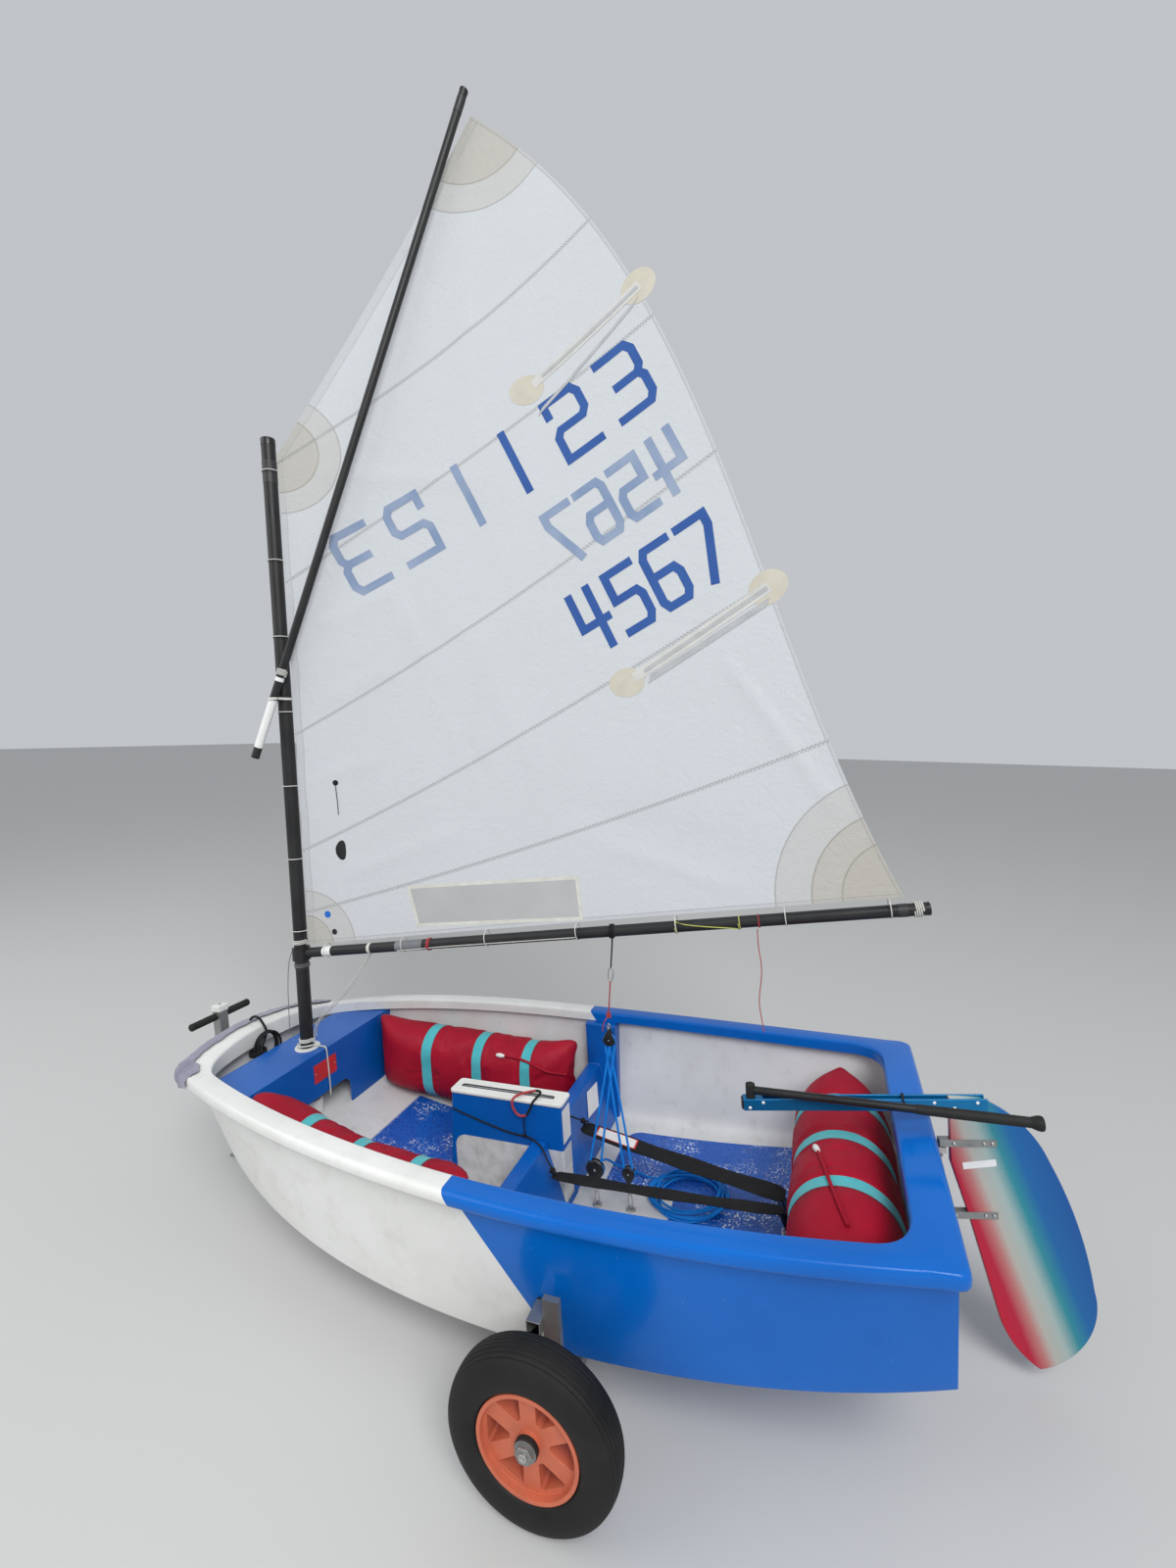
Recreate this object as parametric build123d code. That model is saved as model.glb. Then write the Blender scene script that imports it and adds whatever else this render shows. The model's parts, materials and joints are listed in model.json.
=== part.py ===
from build123d import *
from math import cos, radians, sin, tan
import os

os.makedirs("parts", exist_ok=True)

# Pram sailing dinghy on its two-wheel launching trolley, in mm.
# It is drawn in the boat's own frame: X forward from the transom, Y to port, Z up from the
# hull's base line. The last step trims it bow down as it parks and sets the origin on the ground.

# Hull
length = 2300
stations = [
    # x, half breadth over the strake, sheer height, half breadth at the chine, bottom height, crown of the gunwale
    (0, 484, 374, 404, 61, 12),
    (575, 548, 364, 469, -19, 2),
    (1150, 552, 377, 472, -26, 2),
    (1725, 479, 396, 402, 36, 4),
    (length, 290, 384, 211, 237, 36),
]
bow_rake = 55
wall = 5
seat_gap = 0.3
soft_gap = 0.8
strake = 24
gunwale_width = 66
gunwale_depth = 34
gunwale_round = 14
stern_deck = 92
stern_lip = 20
stern_corner = 95
bow_lip = 50
bow_radius = 1500
bow_well_front = 2242
bow_well_side = 2180
bow_corner = 110

# Mast, boom and sprit
mast_foot = (2024, 0, 136)
mast_rake = 1.64
mast_diameter = 46
mast_bore = 40
mast_length = 2374
boom_diameter = 35
boom_height = 713
boom_length = 2060
boom_swing = 3.7
boom_lift = 5.4
jaw_height = 46
jaw_wall = 8
sprit_diameter = 27
sprit_heel = (2064, 70, 1431)
sprit_peak = (1228, -212, 3538)
tube_wall = 2
fit_gap = 0.5

# Thwart, frame and daggerboard case
thwart_aft = 1946
thwart_front = 2152
thwart_top = 360
thwart_plate = 6
thwart_flange = 46
arch_width = 250
arch_height = 110
arch_round = 40
ring_flange = 86
ring_sleeve = 58
ring_height = 6
step_diameter = 84
step_height = 34
frame_front = 1105
frame_top_width = 46
frame_foot_width = 118
frame_height = 182
frame_arm = 64
case_front = 1392
case_aft = 1004
case_width = 70
case_top = 296
case_slope = 26
cap_overhang = 4
cap_thickness = 10
slot_length = 330
slot_width = 17
slot_centre = 1205

# Cloth cover on the bow
cover_thickness = 6
cover_reach = 95
cover_inset = 26
cover_hem = 10

# Buoyancy bags
strap_thickness = 1.2
strap_width = 36
side_bag_aft = 1124
side_bag_front = 1928
stern_bag_half = 395

# Hiking straps, blocks and sheet
strap_eye = (345, 0)
eye_height = 22
eye_wire = 3
strap_front_z = 128
strap_aft_z = 92
lashing_diameter = 8
hiking_width = 66
hiking_narrow = 40
hiking_thickness = 6
ratchet_place = (918, -6)
second_place = (812, -12)
ratchet_diameter = 57
second_diameter = 40
block_width = 20
low_block_z = 92
fall_spread = 14
upper_block_x = 870
plate_thickness = 5
plate_length = 44
plate_width = 28
shackle_diameter = 8
sheet_diameter = 6
sheet_boom_x = 842
upper_block_top = 545
upper_block_bottom = 450
upper_block_y = -70
strop_diameter = 6
running_clear = 5
coil_place = (650, -100)
coil_radius = 112
coil_thickness = 40
tail_route = [
    (912, -16.3, 96),
    (914, -62, 86),
    (914, -112, 54),
    (908, -154, 12),
    (882, -182, -18),
    (832, -178, -19.5),
    (784, -158, -18.5),
    (742, -168, -17.5),
    (716, -198, -12),
]
painter_diameter = 9
hank_centre = (2200, 0, 348)
hank_radius = 44
hank_thickness = 28
painter_route = [
    (2312, -20, 424),
    (2300, -20, 440),
    (2276, -16, 447),
    (2248, -10, 442),
    (2224, -4, 424),
    (2206, 0, 400),
]

# Rudder and tiller
rudder_axis = -36
rudder_turn = -14
blade_thickness = 14
pin_diameter = 8
pin_gap = 0.1
blade = [
    # end of each run: aft of the pin, height, then a point on its arc where it is one
    (96, 454, None),
    (255, 292, (188, 392)),
    (356, -47, (318, 131)),
    (224, -262, (327, -196)),
    (128, -117, (170, -208)),
    (62, 144, None),
    (20, 290, None),
    (20, 458, None),
]
pintle_heights = [140, 330]
strap_reach = 130
strap_depth = 18
tiller_height = 426
tiller_length = 600
tiller_depth = 30
tiller_bar = 6
tiller_gap = 1
extension_length = 640
extension_turn = 13
extension_diameter = 20
sleeve_length = 250
sleeve_diameter = 24
knob_diameter = 34
joint_diameter = 24
extension_rise = 9
joint_cap = 6

# Trolley
wheel_x = 826
wheel_y = 660
wheel_radius = 195
wheel_height = -24
tyre_width = 92
rim_radius = 116
rim_width = 78
hub_radius = 26
disc_thickness = 44
spokes = 6
axle_diameter = 25
trim = 4.69
axle_drop = 78
crossbar_diameter = 40
arm_y = 540
arm_thickness = 16
arm_width = 40
arm_top = 165
nut_diameter = 36
nut_thickness = 11
stub_side = 34
stub_wall = 3
stub_height = 105
stub_reach = 566
keel_pad_span = (80, 260)
keel_pad_half = 45
side_pad_length = 26
drawbar_diameter = 40
rest_x = 2150
rest_side = 36
rest_top = 128
rest_pad_half = 110
post_x = 2420
post_side = 36
post_foot = 90
handle_height = 446
handle_half = 127
handle_diameter = 20
grip_diameter = 28
grip_wall = 3
block_side = 42
block_base = 462
block_tall = 24
foot_width = 90
foot_length = 68
foot_plate = 8
foot_back = 50


def at_x(x, y=0, z=0):
    """A plane across the boat, with local x to port and local y up."""
    return Plane(origin=(x, y, z), x_dir=(0, 1, 0), z_dir=(1, 0, 0))


def box(x0, x1, y0, y1, z0, z1):
    """A box between two corners."""
    solid = Box(abs(x1 - x0), abs(y1 - y0), abs(z1 - z0))
    return Pos((x0 + x1) / 2, (y0 + y1) / 2, (z0 + z1) / 2) * solid


def rod(start, end, diameter):
    """A round bar between two points."""
    a, b = Vector(*start), Vector(*end)
    plane = Plane(origin=a, z_dir=(b - a).normalized())
    bar = Cylinder(diameter / 2, (b - a).length, align=(Align.CENTER, Align.CENTER, Align.MIN))
    return plane * bar


def tube(start, end, diameter, thickness):
    """A round tube between two points."""
    return rod(start, end, diameter) - rod(start, end, diameter - 2 * thickness)


def hull_section(row, inset, top, shift=0):
    """The hull's outline at one station, inset from the outside, up to a height above the sheer."""
    x, breadth, sheer, chine, bottom = row[:5]
    lean = (breadth - strake - chine) / (sheer - bottom)
    rake = bow_rake if x == length else 0
    points = []
    for side, z in ((1, bottom + inset), (1, sheer + top), (-1, sheer + top), (-1, bottom + inset)):
        y = chine + lean * (z - bottom) - inset
        points.append((x + shift - rake * (sheer - z) / (sheer - bottom), side * y, z))
    return Wire.make_polygon(points, close=True)


def hull_form(inset, top):
    """The solid inside the hull's skin, inset from the outside."""
    sections = []
    for row in stations:
        shift = inset if row[0] == 0 else -inset if row[0] == length else 0
        sections.append(hull_section(row, inset, top, shift))
    return Solid.make_loft(sections)


def breadth_at(x):
    """Half breadth over the strake, between the stations."""
    for a, b in zip(stations, stations[1:]):
        if x <= b[0]:
            return a[1] + (b[1] - a[1]) * (x - a[0]) / (b[0] - a[0])
    return stations[-1][1]


def rail_form(grow):
    """The gunwale's outer form before the well is cut, grown all round: crowned across, and round in plan at the bow."""
    taper = (stations[-2][1] - stations[-1][1]) / (stations[-1][0] - stations[-2][0])
    sections = []
    for x, breadth, sheer, chine, bottom, crown in stations:
        shift = -stern_lip if x == 0 else bow_lip if x == length else 0
        half = breadth + grow - max(shift, 0) * taper
        high = gunwale_depth / 2 + grow
        band = make_face([Line((-half, -high), (half, -high)), Line((half, -high), (half, high)),
                          ThreePointArc((half, high), (0, high + crown), (-half, high)),
                          Line((-half, high), (-half, -high))])
        band = fillet(band.vertices().group_by(Axis.Y)[-1], gunwale_round)
        at = x + shift + (grow if shift > 0 else -grow if shift < 0 else 0)
        sections.append((at_x(at, 0, sheer - gunwale_depth / 2) * band).faces()[0].outer_wire())
    bow_centre = length + bow_lip - bow_radius
    return Solid.make_loft(sections) & Pos(bow_centre, 0, 0) * Rot(0, 0, 180) * Cylinder(bow_radius + grow, 1200)


inside = hull_form(wall + seat_gap, -gunwale_depth - seat_gap)
inside_soft = hull_form(wall + soft_gap, -gunwale_depth - soft_gap)
hull_clear = hull_form(-seat_gap, 0)
parts = {}


def floor_at(x, y=0):
    """Height just above the hull's floor at a point."""
    return (inside & rod((x, y, -100), (x, y, 300), 2)).bounding_box().min.Z


# Hull skin and its broad rounded gunwale
parts["hull_shell"] = hull_form(0, -gunwale_round) - hull_form(wall, 60) - rail_form(seat_gap)


def well_form(grow):
    """The tall prism of the well inside the gunwale, grown all round in plan."""
    stern_x = stern_deck - stern_lip - grow
    stern_y = breadth_at(stern_deck) - gunwale_width + grow
    side_1, side_2, side_3 = [(row[0], row[1] - gunwale_width + grow) for row in stations[1:4]]
    bow_y = breadth_at(bow_well_side) - gunwale_width + grow
    half = [ThreePointArc((stern_x, stern_y), side_1, side_2),
            ThreePointArc(side_2, side_3, (bow_well_side, bow_y))]
    outline = half + [edge.mirror(Plane.XZ) for edge in half]
    outline += [Line((stern_x, -stern_y), (stern_x, stern_y)),
                ThreePointArc((bow_well_side, bow_y), (bow_well_front + grow, 0), (bow_well_side, -bow_y))]
    opening = make_face(outline)
    opening = fillet(opening.vertices().group_by(Axis.X)[0], stern_corner + grow)
    opening = fillet(opening.vertices().group_by(Axis.X)[-1], bow_corner + grow)
    return Pos(0, 0, -100) * extrude(opening, 800)


parts["gunwale"] = rail_form(0) - well_form(0)

# Mast line
mast_way = Vector(-sin(radians(mast_rake)), 0, cos(radians(mast_rake)))
mast_base = Vector(*mast_foot)


def mast_at(z):
    """The point of the mast's centre line at a height."""
    return mast_base + mast_way * ((z - mast_base.Z) / mast_way.Z)


# Mast thwart: top plate, aft web with its arch, and a short flange in front
thwart = box(thwart_aft, thwart_front, -500, 500, thwart_top - thwart_plate, thwart_top)
web = box(thwart_aft, thwart_aft + thwart_plate, -500, 500, -50, thwart_top)
arch = RectangleRounded(arch_width, 2 * arch_height, arch_round)
floor_at_thwart = 92
web -= extrude(at_x(thwart_aft - 10, 0, floor_at_thwart) * arch, thwart_plate + 20)
flange = box(thwart_front - thwart_plate, thwart_front, -500, 500, thwart_top - thwart_flange, thwart_top)
ring_at = mast_at(thwart_top)
ring_hole = Pos(ring_at.X, 0, thwart_top) * Cylinder(ring_sleeve / 2 + seat_gap, 60)
parts["mast_thwart"] = ((thwart + web + flange) & inside) - ring_hole

mast_hole = rod(mast_at(0), mast_at(600), mast_diameter + 2 * fit_gap)
collar = Pos(ring_at.X, 0, thwart_top + seat_gap) * Cylinder(
    ring_flange / 2, ring_height, align=(Align.CENTER, Align.CENTER, Align.MIN))
sleeve = Pos(ring_at.X, 0, thwart_top - 20) * Cylinder(
    ring_sleeve / 2, 24, align=(Align.CENTER, Align.CENTER, Align.MIN))
parts["mast_ring"] = collar + sleeve - mast_hole

step = Pos(mast_foot[0], 0, 40) * Cylinder(
    step_diameter / 2, mast_foot[2] + step_height - 40, align=(Align.CENTER, Align.CENTER, Align.MIN))
socket = rod((mast_base - mast_way * seat_gap), mast_at(400),
             mast_diameter + 2 * fit_gap)
parts["mast_step"] = (step & inside) - socket

# Midship frame with an arm up each side
frame_profile = Polyline((frame_front, -60), (frame_front, frame_height),
                         (frame_front - frame_top_width, frame_height),
                         (frame_front - frame_foot_width, -60), close=True)
bulkhead = extrude(Plane.XZ * make_face(frame_profile), 520, both=True)
arms = box(frame_front - frame_foot_width, frame_front, -560, 560, -60, 400)
arm_inner = breadth_at(frame_front) - strake - wall - frame_arm
arms -= box(0, length, -arm_inner, arm_inner, -100, 500)
case_gap = box(case_aft - 1, case_front + 1, -case_width / 2 - seat_gap, case_width / 2 + seat_gap, -60, 400)
parts["midship_frame"] = ((bulkhead + arms) & inside) - case_gap

# Daggerboard case and cap
case_side = Polyline((case_aft, -60), (case_aft, case_top), (case_front, case_top),
                     (case_front + case_slope, -60), close=True)
case = extrude(Plane.XZ * make_face(case_side), case_width / 2, both=True) & inside
slot = box(slot_centre - slot_length / 2, slot_centre + slot_length / 2, -slot_width / 2, slot_width / 2,
           -200, 600)
parts["daggerboard_case"] = case - slot
cap = RectangleRounded(case_front - case_aft + 2 * cap_overhang, case_width + 2 * cap_overhang, 12)
cap = extrude(Pos((case_front + case_aft) / 2, 0, case_top + seat_gap) * cap, cap_thickness)
parts["case_cap"] = cap - slot
parts["hull_shell"] -= slot

# Buoyancy bags: pillow ends pinched flat, round in the middle


def bag(sections):
    """A loft through rounded sections: plane, width, height."""
    wires = []
    for plane, width, height in sections:
        radius = min(width, height) * 0.49
        wires.append((plane * RectangleRounded(width, height, radius)).faces()[0].outer_wire())
    return Solid.make_loft(wires)


def grown(sections, by):
    """The same sections, wider and higher all round."""
    return [(plane, width + 2 * by, height + 2 * by) for plane, width, height in sections]


def bag_straps(sections, bands):
    """Webbing straps round a bag, one for each band across it."""
    outer = bag(grown(sections, seat_gap + strap_thickness)) - bag(grown(sections, seat_gap))
    return [(outer & band) & inside_soft for band in bands]


side_bag_rows = [
    # share of the length, y, z, width, height
    (0.00, 400, 150, 14, 250),
    (0.16, 388, 142, 160, 262),
    (0.50, 380, 150, 176, 280),
    (0.84, 330, 196, 160, 262),
    (1.00, 318, 215, 14, 250),
]
side_bands = [1290, 1490, 1690]
webbing = []
stern_bands = [-190, 0, 190]
for name, side in (("port", 1), ("starboard", -1)):
    sections = []
    for share, y, z, width, height in side_bag_rows:
        x = side_bag_aft + share * (side_bag_front - side_bag_aft)
        sections.append((at_x(x, side * y, z), width, height))
    parts[f"{name}_bag"] = bag(sections) & inside_soft
    bands = [box(x - strap_width / 2, x + strap_width / 2, -600, 600, -100, 500) for x in side_bands]
    webbing += bag_straps(sections, bands)

stern_rows = [
    # share of the half length, x, z, width, height
    (-1.00, 195, 171, 14, 250),
    (-0.80, 195, 169, 220, 268),
    (0.00, 195, 167, 262, 280),
    (0.80, 195, 169, 220, 268),
    (1.00, 195, 171, 14, 250),
]
across = Rot(0, 0, 90)
sections = []
for share, x, z, width, height in stern_rows:
    sections.append((at_x(share * stern_bag_half, -x, z), width, height))
parts["stern_bag"] = (across * bag(sections)) & inside_soft
bands = [box(y - strap_width / 2, y + strap_width / 2, -600, 0, -100, 500) for y in stern_bands]
outer = bag(grown(sections, seat_gap + strap_thickness)) - bag(grown(sections, seat_gap))
webbing += [(across * (outer & band)) & inside_soft for band in bands]
parts["bag_straps"] = Compound(webbing)

# Hiking straps from the frame to a lashing over the eye on the floor


def flat_strap(start, end, width, thickness):
    """A flat strap between two points, its width across the boat."""
    a, b = Vector(*start), Vector(*end)
    way = (b - a).normalized()
    plane = Plane(origin=(a + b) * 0.5, x_dir=way, z_dir=way.cross(Vector(0, 1, 0)) * -1)
    return plane * Box((b - a).length, width, thickness)


eye_x, eye_y = strap_eye
eye_top = floor_at(eye_x) + plate_thickness
eye_plate = Pos(eye_x, eye_y, 0) * Box(plate_length, plate_width, 2 * eye_top)
eye_loop = Pos(eye_x, eye_y, eye_top) * Rot(90, 0, 0) * Torus(eye_height - 2 * eye_wire, eye_wire)
parts["strap_eye"] = (eye_plate + eye_loop) & inside
frame_gap = extrude(Plane.XZ * offset(make_face(frame_profile), seat_gap), 520, both=True)
hiking_straps = []
lashings = []
for name, front_y, aft_y, width in (("starboard", -158, -36, hiking_width), ("port", 104, 24, hiking_narrow)):
    strap = flat_strap((frame_front - 60, front_y, strap_front_z), (eye_x, aft_y, strap_aft_z), width, hiking_thickness)
    hiking_straps.append(strap - frame_gap)
    side = -1 if aft_y < 0 else 1
    lashings.append(rod((eye_x, side * 2, eye_top + eye_height - eye_wire + seat_gap),
                        (eye_x + 8, side * 12, strap_aft_z - hiking_thickness / 2 - seat_gap), lashing_diameter / 2))
parts["hiking_straps"] = Compound(hiking_straps)
parts["strap_lashing"] = Compound(lashings)

# Falls and blocks of the mainsheet
low_blocks = {}
for name, place, diameter in (("ratchet_block", ratchet_place, ratchet_diameter),
                              ("second_block", second_place, second_diameter)):
    x, y = place
    at = Pos(x, y, low_block_z) * Rot(90, 0, 0)
    plate_top = floor_at(x) + plate_thickness
    shackle = rod((x, y, plate_top - 1), (x, y, low_block_z - diameter / 2 + 3), shackle_diameter)
    foot = box(x - plate_length / 2, x + plate_length / 2, y - plate_width / 2, y + plate_width / 2, -60, plate_top)
    parts[name] = (at * Cylinder(diameter / 2, block_width) + shackle + foot) & inside
    low_blocks[name] = at * Cylinder(diameter / 2 + seat_gap, block_width + 2 * seat_gap)

falls = []
for name, shift, place in (("ratchet_block", -12, ratchet_place), ("ratchet_block", 6, ratchet_place),
                           ("second_block", 8, second_place)):
    low = (place[0] + shift, place[1], low_block_z)
    high = (upper_block_x + fall_spread * (len(falls) - 1), upper_block_y, upper_block_bottom - running_clear)
    falls.append(rod(low, high, sheet_diameter) - low_blocks[name])
parts["mainsheet_falls"] = Compound(falls)


def cord(name, points, diameter):
    """A free cord through its points: straight runs joined by tangent arcs."""
    corners = [Vector(*point) for point in points]
    runs = [b - a for a, b in zip(corners, corners[1:])]
    radii = [0.45 * min(a.length, b.length) / tan(radians(a.get_angle(b) / 2)) for a, b in zip(runs, runs[1:])]
    print(name, "radii", [round(radius) for radius in radii])
    path = FilletPolyline(*corners, radius=radii)
    return sweep(Plane(origin=path @ 0, z_dir=path % 0) * Circle(diameter / 2), path=path)


coil_at = Pos(*coil_place, floor_at(*coil_place) + coil_thickness / 2)
parts["mainsheet_coil"] = (coil_at * Torus(coil_radius, coil_thickness / 2)) & inside_soft
parts["mainsheet_tail"] = cord("mainsheet_tail", tail_route, sheet_diameter) - parts["mainsheet_coil"]

# Cloth cover over the bow's gunwale, with the painter and its hank behind it
cover = rail_form(seat_gap + cover_thickness) - rail_form(seat_gap)
cover_low = stations[-1][2] - gunwale_depth + cover_hem
cover &= box(length - cover_reach, length + 100, -400, 400, cover_low, 500)
parts["bow_cover"] = cover - well_form(cover_inset)

hank = Pos(*hank_centre) * (Rot(0, 90, 0) * Torus(hank_radius, hank_thickness / 2))
parts["painter_hank"] = hank
parts["painter"] = cord("painter", painter_route, painter_diameter) - hank - parts["bow_cover"]

# Mast, boom, jaw and sprit
mast_top = mast_base + mast_way * mast_length
parts["mast"] = tube(mast_base, mast_top, mast_diameter, (mast_diameter - mast_bore) / 2)
boom_way = Vector(-cos(radians(boom_swing)) * cos(radians(boom_lift)),
                  -sin(radians(boom_swing)) * cos(radians(boom_lift)), sin(radians(boom_lift)))
boom_root = mast_at(boom_height)
boom_start = mast_diameter / 2 + jaw_wall + 2


def boom_at(distance):
    """A point on the boom's centre line."""
    return boom_root + boom_way * distance


parts["boom"] = tube(boom_at(boom_start), boom_at(boom_length), boom_diameter, tube_wall)
jaw_plane = Plane(origin=boom_root, x_dir=boom_way, z_dir=mast_way)
jaw = Cylinder(mast_diameter / 2 + jaw_wall, jaw_height) - Cylinder(mast_diameter / 2 + seat_gap, jaw_height + 2)
jaw -= Pos(-40, 0, 0) * Box(60, 30, jaw_height + 2)
jaw = jaw_plane * jaw
jaw += rod(boom_at(mast_diameter / 2 + 3), boom_at(boom_start + 60),
           boom_diameter - 2 * tube_wall - 2 * seat_gap)
jaw -= rod(mast_at(boom_height - 80), mast_at(boom_height + 80),
           mast_diameter + 2 * seat_gap)
parts["boom_jaw"] = jaw
parts["sprit"] = tube(sprit_heel, sprit_peak, sprit_diameter, tube_wall)

luff_ties = [800, 1060, 1320, 1580, 1840, 2100, 2400]
foot_ties = [0.04, 0.2, 0.36, 0.52, 0.68, 0.84, 0.98]
tie_radius = 1.5
strop_tall = 8

# Sail: a loft of shallow arcs from the luff to the leech
luff_gap = 34
sail_thickness = 2
sail_rows = [
    # luff height, leech x, leech y, leech z, camber
    (746, 18, -126, 938, 12),
    (1300, 327, -185, 1791, 72),
    (1880, 681, -243, 2768, 72),
    (2452, 1222, -240, 3484, 22),
]


def sail_form(offset, thickness):
    """The sail's sheet, offset to port, as a loft of arcs."""
    wires = []
    for luff, x, y, z, camber in sail_rows:
        head = mast_at(luff) - Vector(luff_gap, 0, 0)
        leech = Vector(x, y, z)
        chord = leech - head
        bulge = Vector(-chord.Y, chord.X, 0).normalized()
        middle = (head + leech) * 0.5
        near, far = -offset, -offset + thickness
        a, b = head + bulge * near, leech + bulge * near
        c, d = leech + bulge * far, head + bulge * far
        wires.append(Wire([
            ThreePointArc(a, middle + bulge * (camber + near), b).edge(),
            Edge.make_line(b, c),
            ThreePointArc(c, middle + bulge * (camber + far), d).edge(),
            Edge.make_line(d, a)]))
    return Solid.make_loft(wires)


def side_prism(points):
    """A prism right across the boat over an outline of x and z."""
    return extrude(Plane.XZ * make_face(Polyline(*points, close=True)), 600, both=True)


window = [(1455, 990), (904, 1000), (906, 885), (1423, 868)]
sail = sail_form(0, sail_thickness)
parts["sail"] = sail - side_prism(window)
glass = extrude(Plane.XZ * offset(make_face(Polyline(*window, close=True)), -seat_gap, kind=Kind.INTERSECTION), 600,
                both=True)
parts["sail_window"] = sail & glass
lift = sail_form(sail_thickness + seat_gap, sail_thickness)
upper_batten = side_prism([(1044, 2482), (1030, 2506), (695, 2764), (712, 2740)])
lower_batten = side_prism([(712, 1580), (704, 1606), (340, 1794), (348, 1770)])
parts["battens"] = Compound([lift & upper_batten, lift & lower_batten])

# Ties of the luff and the foot, and the strop that holds the sprit to the mast


def tie(centre, way, towards, reach, radius):
    """A ring round a spar that ends just short of the sail's edge."""
    offset = (reach - radius - 2 * tie_radius - 2 * seat_gap) / 2
    plane = Plane(origin=centre + towards * offset, z_dir=way)
    return plane * Torus(radius + seat_gap + tie_radius + offset, tie_radius)


ties = []
aft = Vector(-1, 0, 0)
for height in luff_ties:
    ties.append(tie(mast_at(height), mast_way, aft, luff_gap, mast_diameter / 2))
tack = mast_at(sail_rows[0][0]) - Vector(luff_gap, 0, 0)
clew = Vector(*sail_rows[0][1:4])
foot_bulge = Vector(-(clew - tack).Y, (clew - tack).X, 0).normalized()
for share in foot_ties:
    edge = tack + (clew - tack) * share + foot_bulge * (4 * share * (1 - share) * sail_rows[0][4] + 1)
    centre = boom_root + boom_way * (edge - boom_root).dot(boom_way)
    ties.append(tie(centre, boom_way, (edge - centre).normalized(), (edge - centre).length, boom_diameter / 2))
parts["sail_ties"] = Compound(ties)

sprit_way = (Vector(*sprit_peak) - Vector(*sprit_heel)).normalized()
sprit_pass = Vector(*sprit_heel) + sprit_way * ((sprit_heel[0] - mast_at(sprit_heel[2]).X) / -sprit_way.X)
strop_z = sprit_pass.Z
loops = []
for grow in (seat_gap + 3, seat_gap):
    hug = Cylinder(mast_diameter / 2 + grow, strop_tall)
    hug += Pos(sprit_pass.X - mast_at(strop_z).X, sprit_pass.Y, 0) * Cylinder(sprit_diameter / 2 + grow + 2, strop_tall)
    hug += Pos(0, sprit_pass.Y / 2, 0) * Box(sprit_diameter + 2 * grow + 4, sprit_pass.Y, strop_tall)
    loops.append(hug)
parts["sprit_strop"] = Plane(origin=mast_at(strop_z), x_dir=(1, 0, 0), z_dir=mast_way) * (loops[0] - loops[1])

# Upper block and its strop on the boom
share = (boom_root.X - sheet_boom_x) / -boom_way.X
strop_at = boom_at(share)
ring = Plane(origin=strop_at, z_dir=boom_way) * Torus(boom_diameter / 2 + strop_diameter / 2 + seat_gap, strop_diameter / 2)
strop = rod((strop_at.X, strop_at.Y, strop_at.Z - boom_diameter / 2 - 4), (upper_block_x, upper_block_y, upper_block_top - 8),
            strop_diameter)
shell = box(upper_block_x - 22, upper_block_x + 22, upper_block_y - 10, upper_block_y + 10, upper_block_bottom, upper_block_top)
parts["upper_block"] = ring + strop + shell

# Rudder: blade, straps with pins, tiller
turn = Pos(rudder_axis, 0, 0) * Rot(0, 0, -rudder_turn)
edges = []
last = (-blade[-1][0], blade[-1][1])
for aft, z, via in blade:
    edges.append(ThreePointArc(last, (-via[0], via[1]), (-aft, z)) if via else Line(last, (-aft, z)))
    last = (-aft, z)
parts["rudder_blade"] = turn * extrude(Plane.XZ * make_face(edges), blade_thickness / 2, both=True)
straps = []
gudgeons = []
for z in pintle_heights:
    for side in (-1, 1):
        y = side * (blade_thickness / 2 + seat_gap + 1)
        straps.append(turn * box(-strap_reach, -10, y - 1, y + 1, z, z + strap_depth))
    knuckle = box(-19, 6, -9.3, 9.3, z, z + strap_depth)
    pin = Pos(0, 0, z - 14) * Cylinder(pin_diameter / 2, 32)
    straps.append(turn * (knuckle + pin))
    eye_block = box(rudder_axis - 11, -1, -11, 11, z - 16, z - 1)
    eye_block -= Pos(rudder_axis, 0, z - 10) * Cylinder(pin_diameter / 2 + pin_gap, 40)
    gudgeons.append(eye_block)
blade_straps = straps[0]
for piece in straps[1:]:
    blade_straps = blade_straps + piece
parts["rudder_straps"] = blade_straps - parts["rudder_blade"]
parts["gudgeons"] = Compound(gudgeons)

bars = []
for side in (-1, 1):
    y = side * (blade_thickness / 2 + tiller_gap + tiller_bar / 2)
    bars.append(box(-110, tiller_length - 110, y - tiller_bar / 2, y + tiller_bar / 2,
                    tiller_height, tiller_height + tiller_depth))
nose = box(tiller_length - 160, tiller_length - 110, -10, 10, tiller_height, tiller_height + tiller_depth)
parts["tiller"] = turn * (bars[0] + bars[1] + nose)
joint_x = tiller_length - 130
joint_top = tiller_height + tiller_depth
extension_z = joint_top + extension_rise + extension_diameter / 2
along = turn * Pos(joint_x, 0, extension_z) * Rot(0, 0, -extension_turn) * Rot(0, -90, 0)
upward = (Align.CENTER, Align.CENTER, Align.MIN)
extension = along * Cylinder(extension_diameter / 2, extension_length, align=upward)
clear = along * Cylinder(extension_diameter / 2 + seat_gap, extension_length + seat_gap, align=upward)
joint_tall = extension_rise - seat_gap + extension_diameter + joint_cap
joint = Pos(joint_x, 0, joint_top + seat_gap) * Cylinder(joint_diameter / 2, joint_tall, align=upward)
parts["extension_tube"] = extension
parts["extension_joint"] = turn * joint - clear
sleeve = Pos(0, 0, extension_length - sleeve_length) * Cylinder(sleeve_diameter / 2, sleeve_length, align=upward)
sleeve += Pos(0, 0, extension_length) * Sphere(knob_diameter / 2)
parts["extension_grip"] = along * sleeve - clear

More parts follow.
